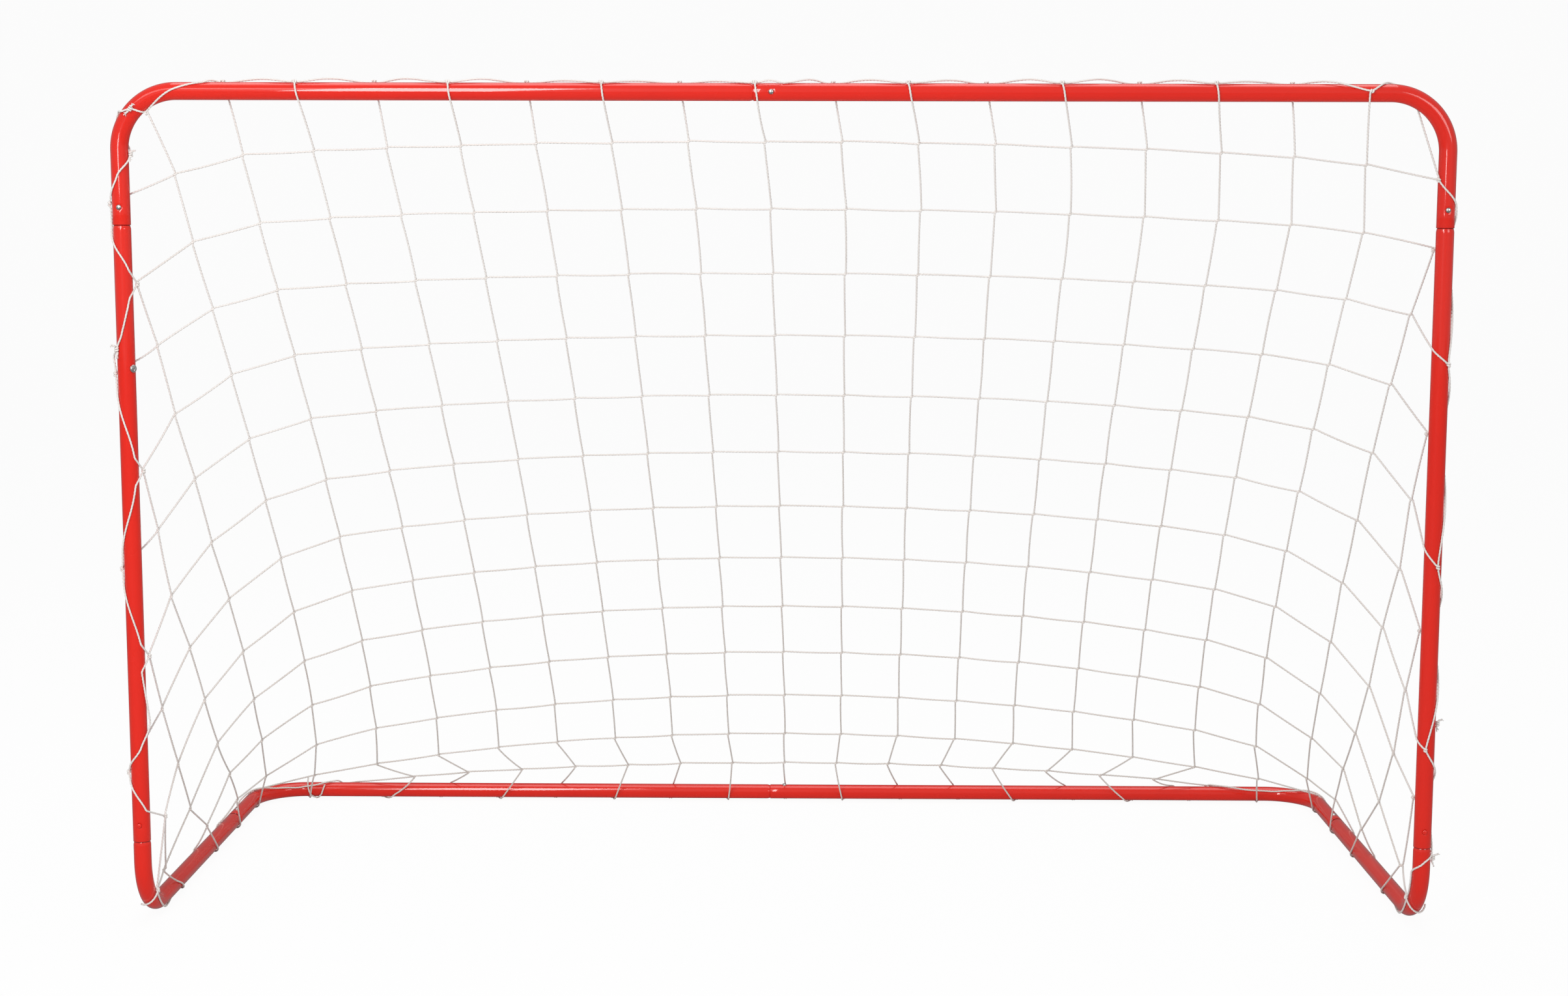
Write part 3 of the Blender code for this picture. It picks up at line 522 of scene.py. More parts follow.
# The springs behind the buttons. Each is a strip of spring steel folded to a V that lies in the bore.
# Its upper leg bears on the button's flange and closes towards the lower one as the button goes in.
LEAF_T = 0.0006
LEAF_WIDTH = 0.006
LEAF_REACH = 0.030
LEAF_CORNER = 0.0001
LEG_STEPS = 16
BOW_STEPS = 17
STEEL_DARK = (0.42, 0.42, 0.42, 1.0)
STEEL_LIGHT = (0.56, 0.55, 0.53, 1.0)

spring_steel = Finish("spring_steel", Metallic=1.0)
streak = spring_steel.noise(180.0, 4.0)
spring_steel.surface("Base Color", spring_steel.blend(streak, STEEL_DARK, STEEL_LIGHT))
spring_steel.surface("Roughness", 0.28 + 0.2 * streak)


def leaf_spring(name, hand, distance, direction):
    """A strip carried along a V: two flat tips, two slanting legs and a half circle that joins them.

    Point = centre + length travel + height direction + width across, with the strip's section, a
    rectangle less its corners, standing square to the V's line.
    """
    centre, travel = (mirrored(hand, part)[0] for part in frame_line(distance)[:2])
    half = LEAF_T / 2
    side = LEAF_WIDTH / 2
    high = FLANGE_SEAT - GAP - FLANGE_T - half
    low = GAP + half - math.sqrt(MALE_BORE ** 2 - side ** 2)
    turn = np.linspace(0, math.pi, BOW_STEPS)
    bow = np.column_stack((-LEAF_REACH - LEAF_T * np.sin(turn), (high + low) / 2 + LEAF_T * np.cos(turn)))
    upper_leg = np.linspace((-FLANGE_R, high), bow[0], LEG_STEPS)[:-1]
    lower_leg = np.linspace(bow[-1], (-FLANGE_R, low), LEG_STEPS)[1:]
    line = np.concatenate(([(FLANGE_R, high)], upper_leg, bow, lower_leg, [(FLANGE_R, low)]))
    way = np.gradient(line, axis=0)
    way /= np.linalg.norm(way, axis=1)[:, None]
    square = np.column_stack((-way[:, 1], way[:, 0]))
    corner = np.array(((half, side - LEAF_CORNER), (half - LEAF_CORNER, side)))
    thick, wide = np.concatenate((corner, corner[::-1] * (-1, 1), -corner, corner[::-1] * (1, -1))).T
    # The first and last sections shrink to the line, which closes the strip's ends.
    share = np.ones((len(line) + 2, 1))
    share[[0, -1]] = 0.0
    line, square = (np.concatenate((part[:1], part, part[-1:])) for part in (line, square))
    flat = line[:, None] + (share * thick)[..., None] * square[:, None]
    points = centre + flat[..., :1] * travel + flat[..., 1:] * direction
    points += (share * wide)[..., None] * np.cross(travel, direction)
    made = mesh_object(name + "_leaf", points, grid_faces(len(line), len(wide)), spring_steel)
    closed_up(made)
    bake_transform(made)
    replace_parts(made, name + "_spring")


for button in BUTTONS:
    leaf_spring(*button)

# The screw on the left upright. A zinc-plated pan head with a cross recess, driven into the tube
# from its inner front so that the net's cord can be hitched over it.
SCREW_Z = 0.818
SCREW_TURN = math.radians(60)
SCREW_HEAD_D = 0.0112
SCREW_HEAD_H = 0.0026
SCREW_SHANK_D = 0.0036
SCREW_DEPTH = 0.009
RECESS_DEPTH = 0.0016
RECESS_ARM = 0.0028
RECESS_WIDTH = 0.0006
SCREW_RINGS = 40
SCREW_SIDES = 96


def recess(u, v):
    """Depth share of the arm along u: it deepens smoothly towards its middle line and the centre."""
    side_share = np.clip((RECESS_WIDTH - abs(v)) / (0.45 * RECESS_WIDTH), 0, 1)
    end_share = np.clip((RECESS_ARM - abs(u)) / (0.6 * RECESS_ARM), 0, 1)
    return side_share * end_share


# Point = foot + height screw way + radius (cos a across + sin a up). Height = pan curve less a cross.
screw_way = np.array([math.sin(SCREW_TURN), -math.cos(SCREW_TURN), 0.0])
head = SCREW_HEAD_D / 2
shank = SCREW_SHANK_D / 2
seat = RADIUS + GAP
tip = RADIUS - SCREW_DEPTH
share = np.linspace(0, 1, SCREW_RINGS)
radius = np.concatenate((head * share, (head, shank, shank, 0.0)))[:, None]
pan = seat + SCREW_HEAD_H * (1 - share ** 4 * 0.55) ** 0.8
height = np.concatenate((pan, (seat, seat, tip + shank, tip)))[:, None]
turn = np.arange(SCREW_SIDES) * 2 * math.pi / SCREW_SIDES
u, v = radius * np.cos(turn), radius * np.sin(turn)
cross = RECESS_DEPTH * np.maximum(recess(u, v), recess(v, u))
cross[SCREW_RINGS:] = 0.0
screw_points = (np.array([-HALF_X, FRONT_Y, SCREW_Z]) + (height - cross)[..., None] * screw_way
                + u[..., None] * np.cross(screw_way, Z_AXIS) + v[..., None] * Z_AXIS)
screw = mesh_object("upright_screw_head", screw_points, grid_faces(len(height), SCREW_SIDES), zinc)
closed_up(screw)
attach(screw, "frame")
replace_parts(screw, "upright_screw")

# The net. Loosely laid white polyethylene twine, 2.8 mm thick, knotted into 100 mm square meshes.
# Its edge meshes go round the tubes, and a border cord threaded through them is pulled tight along
# the far side of each tube and knotted at the corners.
LAST = 16
CORNER_ROW = 9
FIRST_COLUMN = (0, 0, -1, -1, -2, -2, -3, -3, -4, -3, -2, 0, 1)
ROWS = len(FIRST_COLUMN) + 1
REST_BAR = 0.100
REST_EDGE_BAR = 0.085
# Share of its rest length that each kind of string has taken on, as a level and how that changes down
# the net, with the square of that, towards both sides, and with both. Down runs from -0.5 to 0.5.
STRETCH = {
    "row": (1.092, -0.278, -0.899, 0.031, 0.331),
    "column": (1.144, 0.069, 0.003, -0.040, 0.368),
    "top": (0.890, 0, 0, 0.193, 0),
    "side_row": (1.132, -0.033, 0, 0, 0),
    "side_column": (1.201, 0.576, 0, 0, 0),
    "low": (1.657, 0, 0, -0.391, 0),
}
STAND_OFF = 0.012
LOW_STAND_OFF = 0.042
LAID = RADIUS + TWINE_FIT / 2 + TWINE / 2
HELD = RADIUS + TWINE_FIT + TWINE / 2
IN_FRONT = (HELD, STAND_OFF)
BEHIND = (0.25 * HELD, RADIUS + STAND_OFF)

# Rows 1 to 8 at the uprights: share of the run, turn round the tube in degrees from the side away
# from the net, and for a knot that only the cord holds its offsets sideways and towards the net.
LEFT_UPRIGHT = (
    (0.073, -68, None), (0.183, 60, IN_FRONT), (0.307, -68, None), (0.443, 60, IN_FRONT),
    (0.580, -68, None), (0.706, 60, IN_FRONT), (0.871, -68, None), (0.945, 60, (HELD, LOW_STAND_OFF)),
)
RIGHT_UPRIGHT = (
    (0.037, 75, None), (0.132, -120, BEHIND), (0.288, -20, None), (0.387, -120, BEHIND),
    (0.569, 0, None), (0.665, -120, BEHIND), (0.828, 30, None), (0.905, -120, BEHIND),
)
# The rows below them, alike on both sides: by run the row, columns beyond the net's own, and share.
LOW_KNOTS = {
    "lower_bend": ((9, 4.5, 0.41),),
    "ground_rail": ((9.5, 4, 0.205), (10, 3.5, 0.431), (10.5, 3, 0.552), (11, 2.5, 0.667), (11.5, 2, 0.795)),
    "rear_bend": ((12, 1, 0.14),),
}
# Plain turns of the border cord between those knots: by run the share, degrees round the tube, and
# height off it.
LEFT_TURNS = {
    "crossbar": ((0.952, 0, 0),),
    "top_bend": ((0.43, 122, 0), (0.52, 32, 0.0004), (0.64, -58, 0), (0.85, -150, 0)),
    "upright": (
        (0.006, 104, 0.0006), (0.034, 14, 0), (0.105, -74, 0), (0.225, 37, 0), (0.250, 10, 0),
        (0.272, -25, 0.0006), (0.285, -72, 0.0030), (0.800, 100, 0.0035), (0.835, 40, 0)),
}
RIGHT_TURNS = {
    "top_bend": ((0.04, -60, 0), (0.27, -120, 0)),
    "upright": ((0.071, -45, 0), (0.976, -76, 0), (0.990, 14, 0), (1.007, 104, 0)),
}
# Where the cord itself lies at three of the ties, in degrees, and the ties it comes to through the air.
CORD_LIES = {(0, LAST): 52, (9, -4.5): 112, (9, LAST + 4.5): 112}
STRAIGHT_TO = ((1, LAST + 0.5), (9, -4.5))
STRAIGHT = -1.0
# Shares of the half bar at which the first and last inner string reach the crossbar and the rear
# rail, and how many steps lie between. On the crossbar every second tie is behind the tube's top.
BAR_ENDS = ((0, -0.9276, 0.964, LAST - 1), (ROWS, -0.845, 0.846, LAST - 2))
BEHIND_TOP = math.radians(-68)
REAR_BEHIND = (2, 4, 6, 8, 10, 11, 13, 15)

shake = np.random.default_rng(7)


def on_tube(hand, distance, turn, radius=LAID):
    """Twine laid on a tube: axis + radius out, out = -cos(turn) net way + sin(turn) travel x net way."""
    centre, travel, net_way = frame_line(distance)
    turn = np.broadcast_to(turn, len(centre))[:, None]
    out = -np.cos(turn) * net_way + np.sin(turn) * np.cross(travel, net_way)
    return mirrored(hand, centre + np.reshape(radius, (-1, 1)) * out), mirrored(hand, out)


def stops_of(runs):
    """Distance, turn and height of each stop that is listed by run."""
    return [(along(run, share), math.radians(degrees), height) for run, stops in runs.items()
            for share, degrees, height in stops]


# Where each edge knot is held: hand, distance, turn, and its place where only the cord holds it.
# The border cord's stops are its distance, turn, place, rise and whether a string is tied there.
holds = {}
cord_stops = {-1: [], 1: []}
for hand, edge, top, upright, rear_share, turns in (
        (-1, 0, ("top_bend", 0.60), LEFT_UPRIGHT, 0.0, LEFT_TURNS),
        (1, LAST, ("crossbar", 0.964), RIGHT_UPRIGHT, 0.013, RIGHT_TURNS)):
    down = [(0, 0, *top, 0, None), (ROWS - 1, 0, "rear_rail", rear_share, 0, None)]
    down += [(row, row / 2, "upright", *hold) for row, hold in enumerate(upright, 1)]
    down += [(row, beyond, run, share, 0, None) for run, ties in LOW_KNOTS.items()
             for row, beyond, share in ties]
    for row, beyond, run, share, degrees, offsets in down:
        key = (row, edge + hand * beyond)
        distance = along(run, share)
        place = None
        if offsets:
            centre, travel, net_way = frame_line(distance)
            place = mirrored(hand, centre + offsets[0] * np.cross(travel, net_way) + offsets[1] * net_way)[0]
        lies = math.radians(CORD_LIES.get(key, degrees))
        cord_stops[hand].append((distance, lies, place, STRAIGHT if key in STRAIGHT_TO else 0.0, True))
        holds[key] = (hand, distance, math.radians(degrees), place)
    cord_stops[hand] += [(distance, turn, None, height, False) for distance, turn, height in stops_of(turns)]
for row, first, last, steps in BAR_ENDS:
    for count, column in enumerate(range(1, LAST)):
        x = HALF_BAR * (first + (last - first) * count / steps)
        hand = -1 if x < 0 else 1
        distance = abs(x) if row == 0 else REAR_MIDDLE - abs(x)
        holds[row, column] = (hand, distance, 0.0, None)
        turn = BEHIND_TOP if row == 0 and column % 2 else 0.0
        cord_stops[hand].append((distance, turn, None, 0.0, True))

inner = [(row, column) for row, first in enumerate(FIRST_COLUMN, 1)
         for column in range(first, LAST - first + 1)]
lines = []
for fixed in (0, 1):
    for value in sorted({key[fixed] for key in inner}):
        line = sorted(key for key in [*holds, *inner] if key[fixed] == value)
        lines.append([line[0], *(key for key in line[1:-1] if key in inner), line[-1]])
frame_axis = frame_line(np.linspace(0, REAR_MIDDLE, 1500))[0]


def wrap_side(row, column, neighbour):
    """Side on which a string leaves the tube: 1 over the front or inside, -1 behind or outside."""
    if row == 0:
        return 1 if column % 2 == 0 else -1
    if row == ROWS:
        return -1 if column in REAR_BEHIND else 1
    if row < CORNER_ROW:
        return -1 if column < 0 else 1
    return -1 if neighbour[0] == row else 1


WRAP_STEP = math.radians(9)
WRAP_TRIES = 14
LEAVE_STEP = math.radians(4)
SKIN_ROOM = 0.0003


def wrap(key, neighbour, target):
    """A string on its tube, from its border knot to where it leaves for the next knot.

    It winds as a straight line on the unrolled tube: distance grows evenly with the turn.
    """
    hand, distance, turn, place = holds[key]
    if place is not None:
        return place[None], None
    side = wrap_side(*key, neighbour)
    centre, travel, net_way = (part[0] for part in frame_line(distance))
    reach = mirrored(hand, target) - centre
    sideways = side * float(reach @ np.cross(travel, net_way))
    away = -float(reach @ net_way)
    span = math.hypot(sideways, away)
    leave = math.atan2(sideways, away) % (2 * math.pi) - math.acos(min(1.0, LAID / span))
    for _ in range(WRAP_TRIES):
        spread = max(leave - side * turn, 0.0)
        free = math.sqrt(max(span ** 2 - LAID ** 2, 0.0))
        slide = float(reach @ travel) * LAID * spread / (LAID * spread + free)
        share = np.linspace(0, 1, 2 + int(spread / WRAP_STEP))
        points, outs = on_tube(hand, distance + slide * share, side * (side * turn + share * spread))
        string = points[-1] + np.linspace(0, 1, 40)[:, None] ** 2 * (target - points[-1])
        gaps = np.linalg.norm(mirrored(hand, string)[:, None] - frame_axis[None], axis=2)
        if gaps.min() > LAID - SKIN_ROOM:
            break
        leave += LEAVE_STEP
    return points, outs


def rest_length(pair, held):
    """Unstretched length of the string between two knots, by its kind and where it lies in the net."""
    kind = "row" if pair[0][0] == pair[1][0] else "column"
    if held:
        kind = "top" if held[0][0] == 0 else "low" if held[0][0] >= CORNER_ROW else "side_" + kind
    level, slope, curve, spread, twist = STRETCH[kind]
    down = (pair[0][0] + pair[1][0]) / 2 / ROWS - 0.5
    side = ((pair[0][1] + pair[1][1]) / LAST - 1) ** 2
    share = level + slope * down + curve * down ** 2 + spread * side + twist * side * down
    return share * (REST_EDGE_BAR if held else REST_BAR)


SETTLE_PASSES = 2
SETTLE_STEPS = 3000
SLACK_PULL = 0.02
SPEED_KEPT = 0.98
PULL_STEP = 0.5 * REST_BAR
MOVE_STEP = 0.3


def settled():
    """Places of the open net's knots: every bar pulls as it is stretched past its rest length."""
    order = dict(zip(inner, range(len(inner))))
    places = np.array([(0.9 * HALF_BAR * (2 * column / LAST - 1),
                        FRONT_Y + 0.9 * row / ROWS * (REAR_Y - FRONT_Y),
                        TOP_Z + row / ROWS * (LOW_Z - TOP_Z)) for row, column in inner])
    pairs = [pair for line in lines for pair in zip(line, line[1:])]
    for _ in range(SETTLE_PASSES):
        anchors, ends, rests = [], [], []
        for pair in pairs:
            held = [key for key in pair if key not in order]
            numbers = [order[key] for key in pair if key in order]
            if held:
                anchors.append(wrap(held[0], inner[numbers[0]], places[numbers[0]])[0][-1])
                numbers.insert(0, len(inner) + len(anchors) - 1)
            ends.append(numbers)
            rests.append(rest_length(pair, held))
        first, second = np.array(ends).T
        rests = np.array(rests)[:, None]
        number = np.arange(len(inner))[:, None]
        pull_on = 1.0 * (number == first) - (number == second)
        spots = np.concatenate((places, anchors))
        speed = np.zeros_like(places)
        for _ in range(SETTLE_STEPS):
            reach = spots[second] - spots[first]
            length = np.linalg.norm(reach, axis=1, keepdims=True)
            force = reach / length * (np.maximum(length - rests, 0) + SLACK_PULL * length) / rests
            speed = SPEED_KEPT * speed + PULL_STEP * (pull_on @ force)
            spots[:len(inner)] += MOVE_STEP * speed
        places = spots[:len(inner)]
    return dict(zip(inner, places))


knots = settled()


def unit(vector):
    return vector / np.linalg.norm(vector, axis=-1, keepdims=True)


KNOT_HALF = 0.0023
KNOT_COIL = 0.00115
KNOT_TURN = 1.4 * math.pi
KNOT_STEPS = 9


def through_knot(key, downward):
    """A string inside a knot: half of a two-string twist along the mesh's diagonal."""
    row, column = key
    here = knots[key]
    right = unit(knots.get((row, column + 1), here) - knots.get((row, column - 1), here) + 1e-9)
    up = unit(knots.get((row - 1, column), here) - knots.get((row + 1, column), here) + 1e-9)
    diagonal = unit(right + up)
    normal = unit(np.cross(right, up))
    share = np.linspace(0, 1, KNOT_STEPS)[:, None]
    turn = KNOT_TURN * (share - 0.5) + (math.pi if downward else 0.0)
    points = here + KNOT_HALF * (2 * share - 1) * diagonal
    points = points + KNOT_COIL * (np.cos(turn) * normal + np.sin(turn) * np.cross(diagonal, normal))
    return points[::-1] if downward else points


def cord_way(hand, distance):
    """Direction of the border cord at a distance."""
    return mirrored(hand, frame_line(distance)[1])[0]


HITCH_COIL = 0.0019
HITCH_LENGTH = 0.0050
HITCH_LIFT = 0.0012
HITCH_STEPS = 19
FLOOR_ROOM = 0.0002


def hitch(key, side, start, out):
    """The end of a string: one turn and a half round the border cord."""
    hand, distance, turn, place = holds[key]
    on_floor = distance >= ON_FLOOR and turn == 0
    centre = start + (0 if on_floor or place is not None else HITCH_LIFT) * out
    way = cord_way(hand, distance)
    share = np.linspace(0, 1, HITCH_STEPS)[:, None]
    turn = side * (QUARTER - share * 3 * math.pi)
    coil = HITCH_COIL * (np.cos(turn) * out + np.sin(turn) * np.cross(way, out))
    points = centre + (share - 0.5) * HITCH_LENGTH * way + coil
    if on_floor:
        points[:, 2] = np.maximum(points[:, 2], TWINE / 2 + FLOOR_ROOM)
    return points[::-1]


# The odd strings begin some steps further round the crossbar, where the cord is tied behind its top.
# Those at the corners begin where the cord or a loose end of it crosses the tube.
STEPS_BEHIND = 7
DRAWN_FROM = {
    (0, 0): ("top_bend", 0.43, 122), (0, LAST): ("crossbar", 0.964, 52),
    (9, -4.5): ("lower_bend", 0.42, 112), (9, LAST + 4.5): ("lower_bend", 0.42, 112),
}
BOW = 0.0011
SAG_SHARE = 0.05


def string_path(line):
    """One string: hitched at both ends, twisted through each knot, bowed a little between them."""
    downward = line[0][1] == line[-1][1]
    pieces = []
    for index, key in enumerate(line):
        if key in knots:
            pieces.append(through_knot(key, downward))
            continue
        near = line[1] if index == 0 else line[-2]
        points, outs = wrap(key, near, knots[near])
        way = cord_way(*holds[key][:2])
        if key in DRAWN_FROM:
            run, share, degrees = DRAWN_FROM[key]
            points, outs = on_tube(holds[key][0], along(run, share), math.radians(degrees))
        elif key[0] == 0 and key[1] % 2:
            points, outs = points[STEPS_BEHIND:], outs[STEPS_BEHIND:]
        side = 1.0
        if outs is None:
            out = unit(np.cross(way, unit(knots[near] - points[0])))
        else:
            out = outs[0]
            side = math.copysign(side, float(np.cross(way, out) @ (points[-1] - points[0] + out * 1e-6)))
        whole = np.concatenate((hitch(key, side, points[0], out), points[1:]))
        pieces.append(whole if index == 0 else whole[::-1])
    path = [pieces[0]]
    for before, after in zip(pieces, pieces[1:]):
        share = np.linspace(0, 1, 11)[1:-1, None]
        span = after[0] - before[-1]
        side = unit(np.cross(span, shake.normal(size=3)))
        slack = max(REST_BAR - np.linalg.norm(span), 0.0)
        drop = BOW * shake.uniform(0.2, 1.0) * side - SAG_SHARE * slack * Z_AXIS
        path += [before[-1] + share * span + 4 * share * (1 - share) * drop, after]
    return np.concatenate(path)


def summed(steps):
    """Running total of steps, from zero."""
    return np.concatenate(([0.0], np.cumsum(steps)))


def read_off(at, run, path):
    """Points of a path where its run has the values asked for."""
    return np.column_stack([np.interp(at, run, part) for part in path.T])


def resampled(path, spacing):
    """The same path at even steps of about the spacing."""
    steps = np.linalg.norm(np.diff(path, axis=0), axis=1)
    path = path[np.concatenate(([True], steps > 1e-7))]
    run = summed(np.linalg.norm(np.diff(path, axis=0), axis=1))
    return read_off(np.linspace(0, run[-1], max(3, round(run[-1] / spacing))), run, path)


def softened(path, reach):
    """Running mean of a path over a few steps, with its ends held."""
    window = np.ones(2 * reach + 1) / (2 * reach + 1)
    padded = np.pad(path, ((reach, reach), (0, 0)), mode="edge")
    return np.column_stack([np.convolve(part, window, "valid") for part in padded.T])


TWINE_SIDES = 6
STRAND_RISE = 0.10
LAY = 0.015
FINE_STEP = 0.0005
STRAIGHT_RING = 0.0021
RING_TURN = 0.42
GUIDE = np.array([0.31, 0.52, 0.80])
OTHER_GUIDE = np.array([0.1, 0.9, 0.4])


def twine_mesh(paths, thick):
    """Points, faces and UVs of laid twine along paths.

    Ring point = path + r (cos a first + sin a second), where r rises and falls three times round
    the ring and a advances by a full turn every lay. The rings follow the path without twisting:
    each frame's drift against its neighbour is summed up and taken back.
    """
    all_verts, all_faces, all_uvs = [], [], []
    begun = 0
    for path in paths:
        fine = softened(resampled(path, FINE_STEP), 2)
        tangent = unit(np.gradient(fine, axis=0))
        bend = np.arccos(np.clip((tangent[1:] * tangent[:-1]).sum(1), -1, 1))
        step = np.linalg.norm(np.diff(fine, axis=0), axis=1)
        effort = summed(step / STRAIGHT_RING + bend / RING_TURN)
        count = max(4, int(effort[-1]))
        at = np.linspace(0, effort[-1], count)
        points = read_off(at, effort, fine)
        run = np.interp(at, effort, summed(step))
        tangent = unit(np.gradient(points, axis=0))
        guide = GUIDE if abs(tangent[len(tangent) // 2, 0]) < 0.7 else OTHER_GUIDE
        first = unit(np.cross(tangent, guide))
        second = np.cross(tangent, first)
        carried = unit(first[:-1] - (first[:-1] * tangent[1:]).sum(1, keepdims=True) * tangent[1:])
        drift = summed(np.arctan2((carried * second[1:]).sum(1), (carried * first[1:]).sum(1)))
        angle = (np.arange(TWINE_SIDES) * 2 * math.pi / TWINE_SIDES)[None, :]
        turn = (angle + (drift + 2 * math.pi * run / LAY)[:, None])[..., None]
        radius = thick / 2 * (1 + STRAND_RISE * np.cos(3 * angle))[..., None]
        ring = points[:, None] + radius * (np.cos(turn) * first[:, None] + np.sin(turn) * second[:, None])
        faces = begun + grid_faces(count, TWINE_SIDES)
        row, column = np.divmod(np.arange(len(faces)), TWINE_SIDES)
        low, high = run[row] / LAY, run[row + 1] / LAY
        left, right = column / TWINE_SIDES, (column + 1) / TWINE_SIDES
        uvs = np.stack((low, left, low, right, high, right, high, left), 1).reshape(-1, 4, 2)
        caps = begun + np.array([[0, 3, 2, 1], [0, 5, 4, 3]])
        all_verts.append(ring.reshape(-1, 3))
        all_faces += [faces, caps, caps[:, ::-1] + (count - 1) * TWINE_SIDES]
        all_uvs += [uvs, np.zeros((4, 4, 2))]
        begun += count * TWINE_SIDES
    return np.concatenate(all_verts), np.concatenate(all_faces), np.concatenate(all_uvs)


TWINE_GREY = (0.72, 0.676, 0.640, 1.0)
TWINE_WHITE = (0.90, 0.862, 0.834, 1.0)
# A brownish grey that paints shade into the twine of the net's lower back.
TWINE_SHADE = (0.62, 0.54, 0.48, 1.0)
FIBRE_SCALE = (3.0, 26.0, 1.0)
FIBRE_HEIGHT = 0.0002

twine = Finish("laid_twine", Roughness=0.82, Sheen_Weight=0.25, Sheen_Roughness=0.4)
lay_line = twine.node("ShaderNodeUVMap", {"uv_map": "lay"}, {})
fibre = twine.noise(1.0, 3.0, 0.6, twine.node(
    "ShaderNodeMapping", {}, {"Vector": lay_line, "Scale": FIBRE_SCALE}))
grime = twine.between(twine.noise(9.0, 4.0), 0.35, 0.75)
# Painted shade: the twine turns darker and browner towards the bottom, behind the net's front edge.
shade_by_height = twine.between(twine.coordinate(2), 0.15, 0.85, 0.33, 0.0)
lower_back_shade = shade_by_height * twine.between(twine.coordinate(1), -0.36, -0.25)
clean = twine.blend(fibre, TWINE_GREY, TWINE_WHITE)
twine.surface("Base Color", twine.blend(grime * 0.2 + lower_back_shade, clean, TWINE_SHADE))
twine.bump(fibre, FIBRE_HEIGHT, 0.5)


def twine_piece(name, paths, thick=TWINE):
    """One piece of the net from several strings."""
    verts, faces, uvs = twine_mesh(paths, thick)
    made = mesh_object(name, verts, faces, twine)
    layer = made.data.uv_layers.new(name="lay")
    layer.data.foreach_set("uv", uvs.reshape(-1).astype(np.float32))
    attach(made, "frame")
    return made


row_paths, column_paths = ([string_path(line) for line in lines if line[0][fixed] == line[-1][fixed]]
                           for fixed in (0, 1))

CORD_LEAD = 0.020
CORD_STEP = 0.002
EASE = 0.35
WAVES = (0.035, 0.03)
LIFT_REACH = 0.004
ARCH_HIGH = (0.0006, 0.0046)
ARCH_SKEW = (0.7, 1.4)


def cord_side(hand):
    """The border cord on one half, from the crossbar's middle to the rear rail's middle.

    Between two stops its turn goes the nearest way round, eased at both ends, and wanders a little.
    Along the crossbar it also arches off the tube from tie to tie, by height sin^2.
    """
    stops = sorted(cord_stops[hand], key=lambda stop: stop[0]) + [(REAR_MIDDLE, 0.0, None, 0.0, False)]
    pieces = []
    begun = (0.0, 0.0, 0.0, 0.0)
    for distance, turn, place, rise, tied in stops:
        lead = 0.0 if place is None else CORD_LEAD
        on_top = float(tied and place is None)
        turn = begun[1] + (turn - begun[1] + math.pi) % (2 * math.pi) - math.pi
        reach = distance - lead - begun[0]
        share = np.linspace(0, 1, max(6, int(reach / CORD_STEP)))
        if rise == STRAIGHT:
            start = pieces[-1][-1:]
            pieces.append(start + share[:, None] * (on_tube(hand, distance, turn)[0] - start))
            begun = (distance, turn, 1.0, 0.0)
            continue
        eased = share * share * (3 - 2 * share) * EASE + (1 - EASE) * share
        wave = sum(wide * np.sin(times * math.pi * share) * shake.uniform(-1, 1)
                   for times, wide in enumerate(WAVES, 1))
        near = np.exp(-((share * reach) / LIFT_REACH) ** 2) * begun[2]
        near = near + np.exp(-(((1 - share) * reach) / LIFT_REACH) ** 2) * on_top
        at = begun[0] + share * reach
        lift = np.where(at >= ON_FLOOR, 0.0, HITCH_LIFT) * np.clip(near, 0, 1)
        lift = lift + begun[3] + (rise - begun[3]) * share
        if distance < HALF_BAR:
            high = shake.uniform(*ARCH_HIGH)
            lift = lift + high * np.sin(math.pi * share ** shake.uniform(*ARCH_SKEW)) ** 2
        pieces.append(on_tube(hand, at, begun[1] + (turn - begun[1]) * eased + wave, LAID + lift)[0])
        if place is not None:
            pieces.append(place[None])
        begun = (distance + lead, turn, on_top, rise)
    return np.concatenate(pieces)


# Knotted ends of the border cord, each two coils round it and two short tails with frayed tips, and
# the loose lengths laid round the tubes beside them.
TIED_ENDS = (
    (-1, "top_bend", 0.52, 32), (-1, "upright", 0.006, 104), (-1, "upright", 0.272, -25),
    (-1, "ground_rail", 0.253, 20), (1, "upright", 0.793, -80), (1, "upright", 0.985, -60),
)
LOOSE_ENDS = (
    (1, {"lower_bend": (
        (0.40, 112, 0.001), (0.47, 70, 0), (0.55, 20, 0), (0.60, -30, 0), (0.58, -68, 0.001))}),
    (-1, {"lower_bend": ((0.40, 112, 0.001), (0.46, 70, 0), (0.52, 20, 0), (0.56, -20, 0.001))}),
    (-1, {"rear_rail": (
        (0, -150, 0.006), (0.002, 150, 0.001), (0.008, 90, 0), (0.020, 60, 0), (0.030, 100, 0),
        (0.038, 165, 0.003))}),
    (-1, {"ground_rail": ((0.915, -5, 0), (0.930, -60, 0), (0.955, -115, 0)),
          "rear_bend": ((0.10, -155, 0.0016), (0.45, -202, 0.0016), (0.85, -217, 0.0016)),
          "rear_rail": ((0.020, -200, 0.0016), (0.055, -155, 0), (0.070, -85, 0), (0.077, -10, 0))}),
    (1, {"rear_bend": (
        (0.02, -5, 0), (0.10, -60, 0), (0.24, -125, 0), (0.48, -185, 0.0016), (0.85, -212, 0.0016)),
         "rear_rail": ((0.040, -204, 0.0016), (0.105, -158, 0), (0.125, -85, 0), (0.132, -10, 0))}),
)
LOOSE_STEPS = 14
END_COIL = 0.0024
END_LENGTH = 0.0075
END_LIFT = 0.0012
END_TURN = 5 * math.pi
TAIL = 0.0055
FRAY = 0.004
STRAND = 0.0011
STRANDS = 4


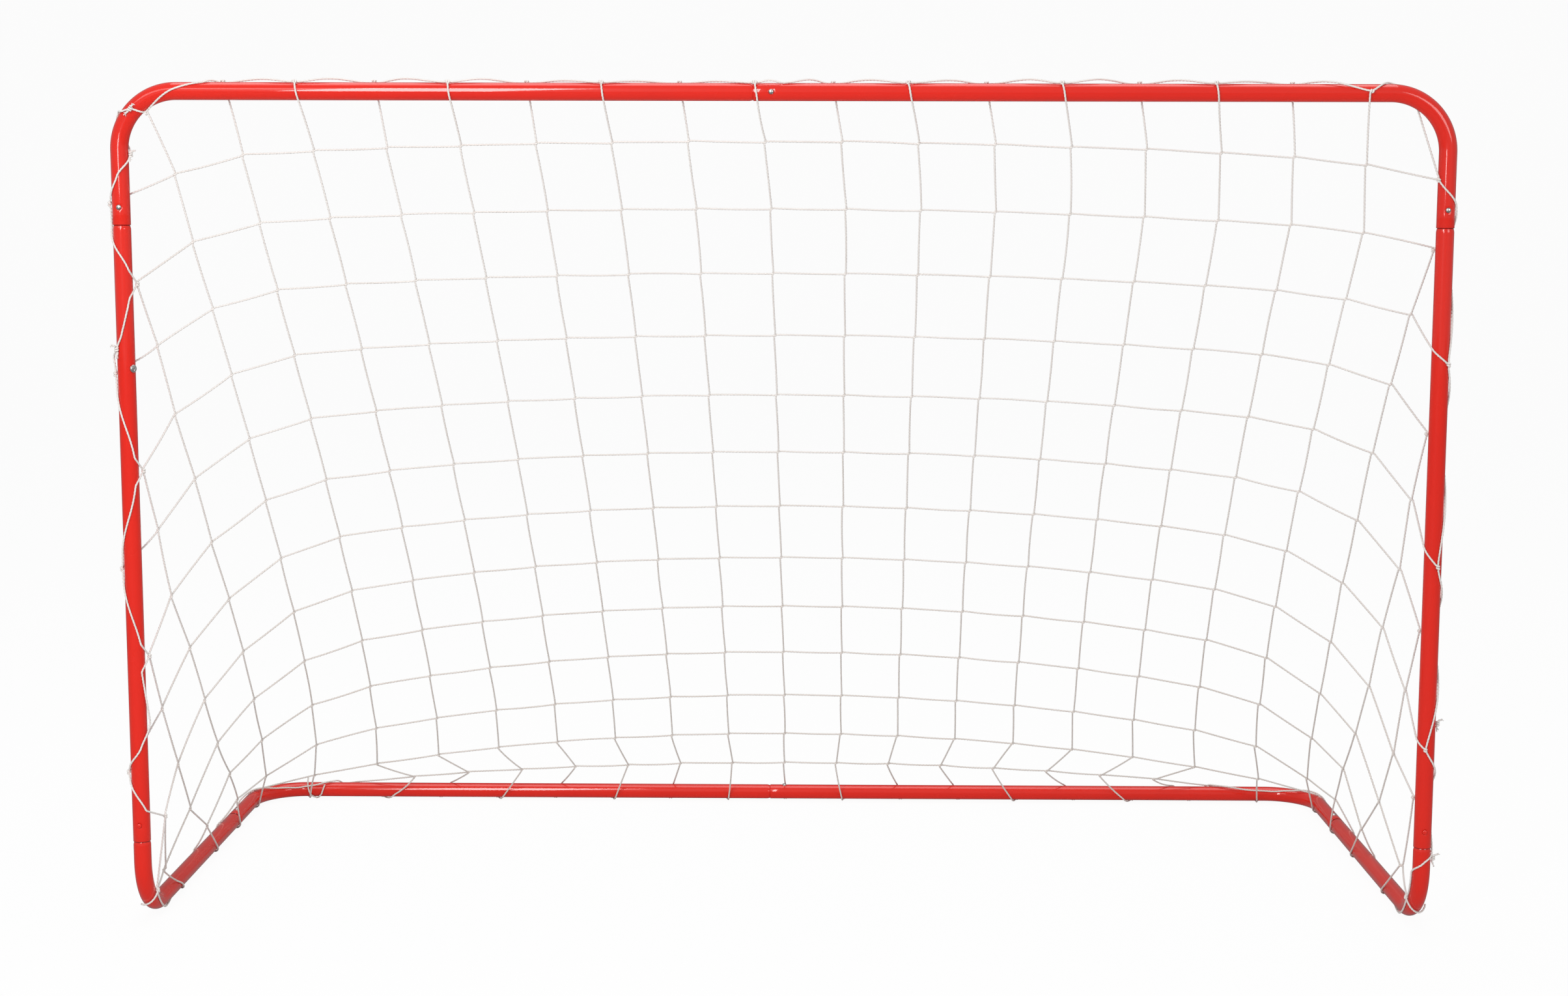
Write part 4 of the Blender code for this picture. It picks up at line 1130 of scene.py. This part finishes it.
def off_tube(hand, points):
    """The same points, those inside a tube's skin or the floor moved out to rest on it."""
    near_left = mirrored(hand, points)
    nearest = np.linalg.norm(near_left[:, None] - frame_axis[None], axis=2).argmin(axis=1)
    reach = near_left - frame_axis[nearest]
    far = np.linalg.norm(reach, axis=1, keepdims=True)
    moved = mirrored(hand, frame_axis[nearest] + reach / far * np.maximum(far, LAID))
    moved[:, 2] = np.maximum(moved[:, 2], TWINE / 2)
    return moved


def tied_end(hand, run, share, degrees):
    """A coil round the cord with a tail at each end, and the strands that its tips fray into."""
    distance = along(run, share)
    (centre,), (out,) = on_tube(hand, distance, math.radians(degrees), LAID + END_LIFT)
    way = cord_way(hand, distance)
    beside = np.cross(way, out)
    turn = np.linspace(0, END_TURN, 41)[:, None]
    coil = centre + (turn / END_TURN - 0.5) * END_LENGTH * way
    coil = coil + END_COIL * (np.cos(turn) * out + np.sin(turn) * beside)
    step = np.linspace(0, 1, 8)[:, None]
    tails, strands = [], []
    for start, lean in ((coil[0], -1), (coil[-1], 1)):
        aim = unit(shake.uniform(0.3, 0.8) * out + lean * shake.uniform(0.3, 0.9) * way
                   + shake.uniform(-0.7, 0.7) * beside)
        tails.append(off_tube(hand, start + TAIL * step * aim - 0.3 * TAIL * step ** 2 * Z_AXIS))
        for _ in range(STRANDS):
            strand = FRAY * step * unit(aim + 0.5 * shake.normal(size=3)) - 0.4 * FRAY * step ** 2 * Z_AXIS
            strands.append(off_tube(hand, tails[-1][-2] + strand))
    return np.concatenate((tails[0][::-1], off_tube(hand, coil), tails[1])), strands


def laid(hand, runs):
    """A length of cord on a tube through stops of share, degrees and height off it."""
    stops = np.array(stops_of(runs))
    stops[:, 1] = np.unwrap(stops[:, 1])
    at = np.linspace(0, len(stops) - 1, LOOSE_STEPS * len(stops))
    distance, turn, height = read_off(at, np.arange(len(stops)), stops).T
    return softened(on_tube(hand, distance, turn, LAID + END_LIFT + height)[0], 3)


end_paths = [laid(hand, runs) for hand, runs in LOOSE_ENDS]
strand_paths = []
for end in TIED_ENDS:
    knotted, frayed = tied_end(*end)
    end_paths.append(knotted)
    strand_paths += frayed

left, right = cord_side(-1), cord_side(1)
border = np.concatenate((left, right[::-1], left[:1]))
half_rows = len(row_paths) // 2
half_columns = len(column_paths) // 2
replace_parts(twine_piece("net_rows_upper", row_paths[:half_rows]), "net")
twine_piece("net_rows_lower", row_paths[half_rows:])
twine_piece("net_columns_left", column_paths[:half_columns])
twine_piece("net_columns_right", column_paths[half_columns:])
twine_piece("net_border_cord", [softened(resampled(border, 0.001), 2)])
twine_piece("net_tied_ends", end_paths)
twine_piece("net_frayed_tips", strand_paths, STRAND)
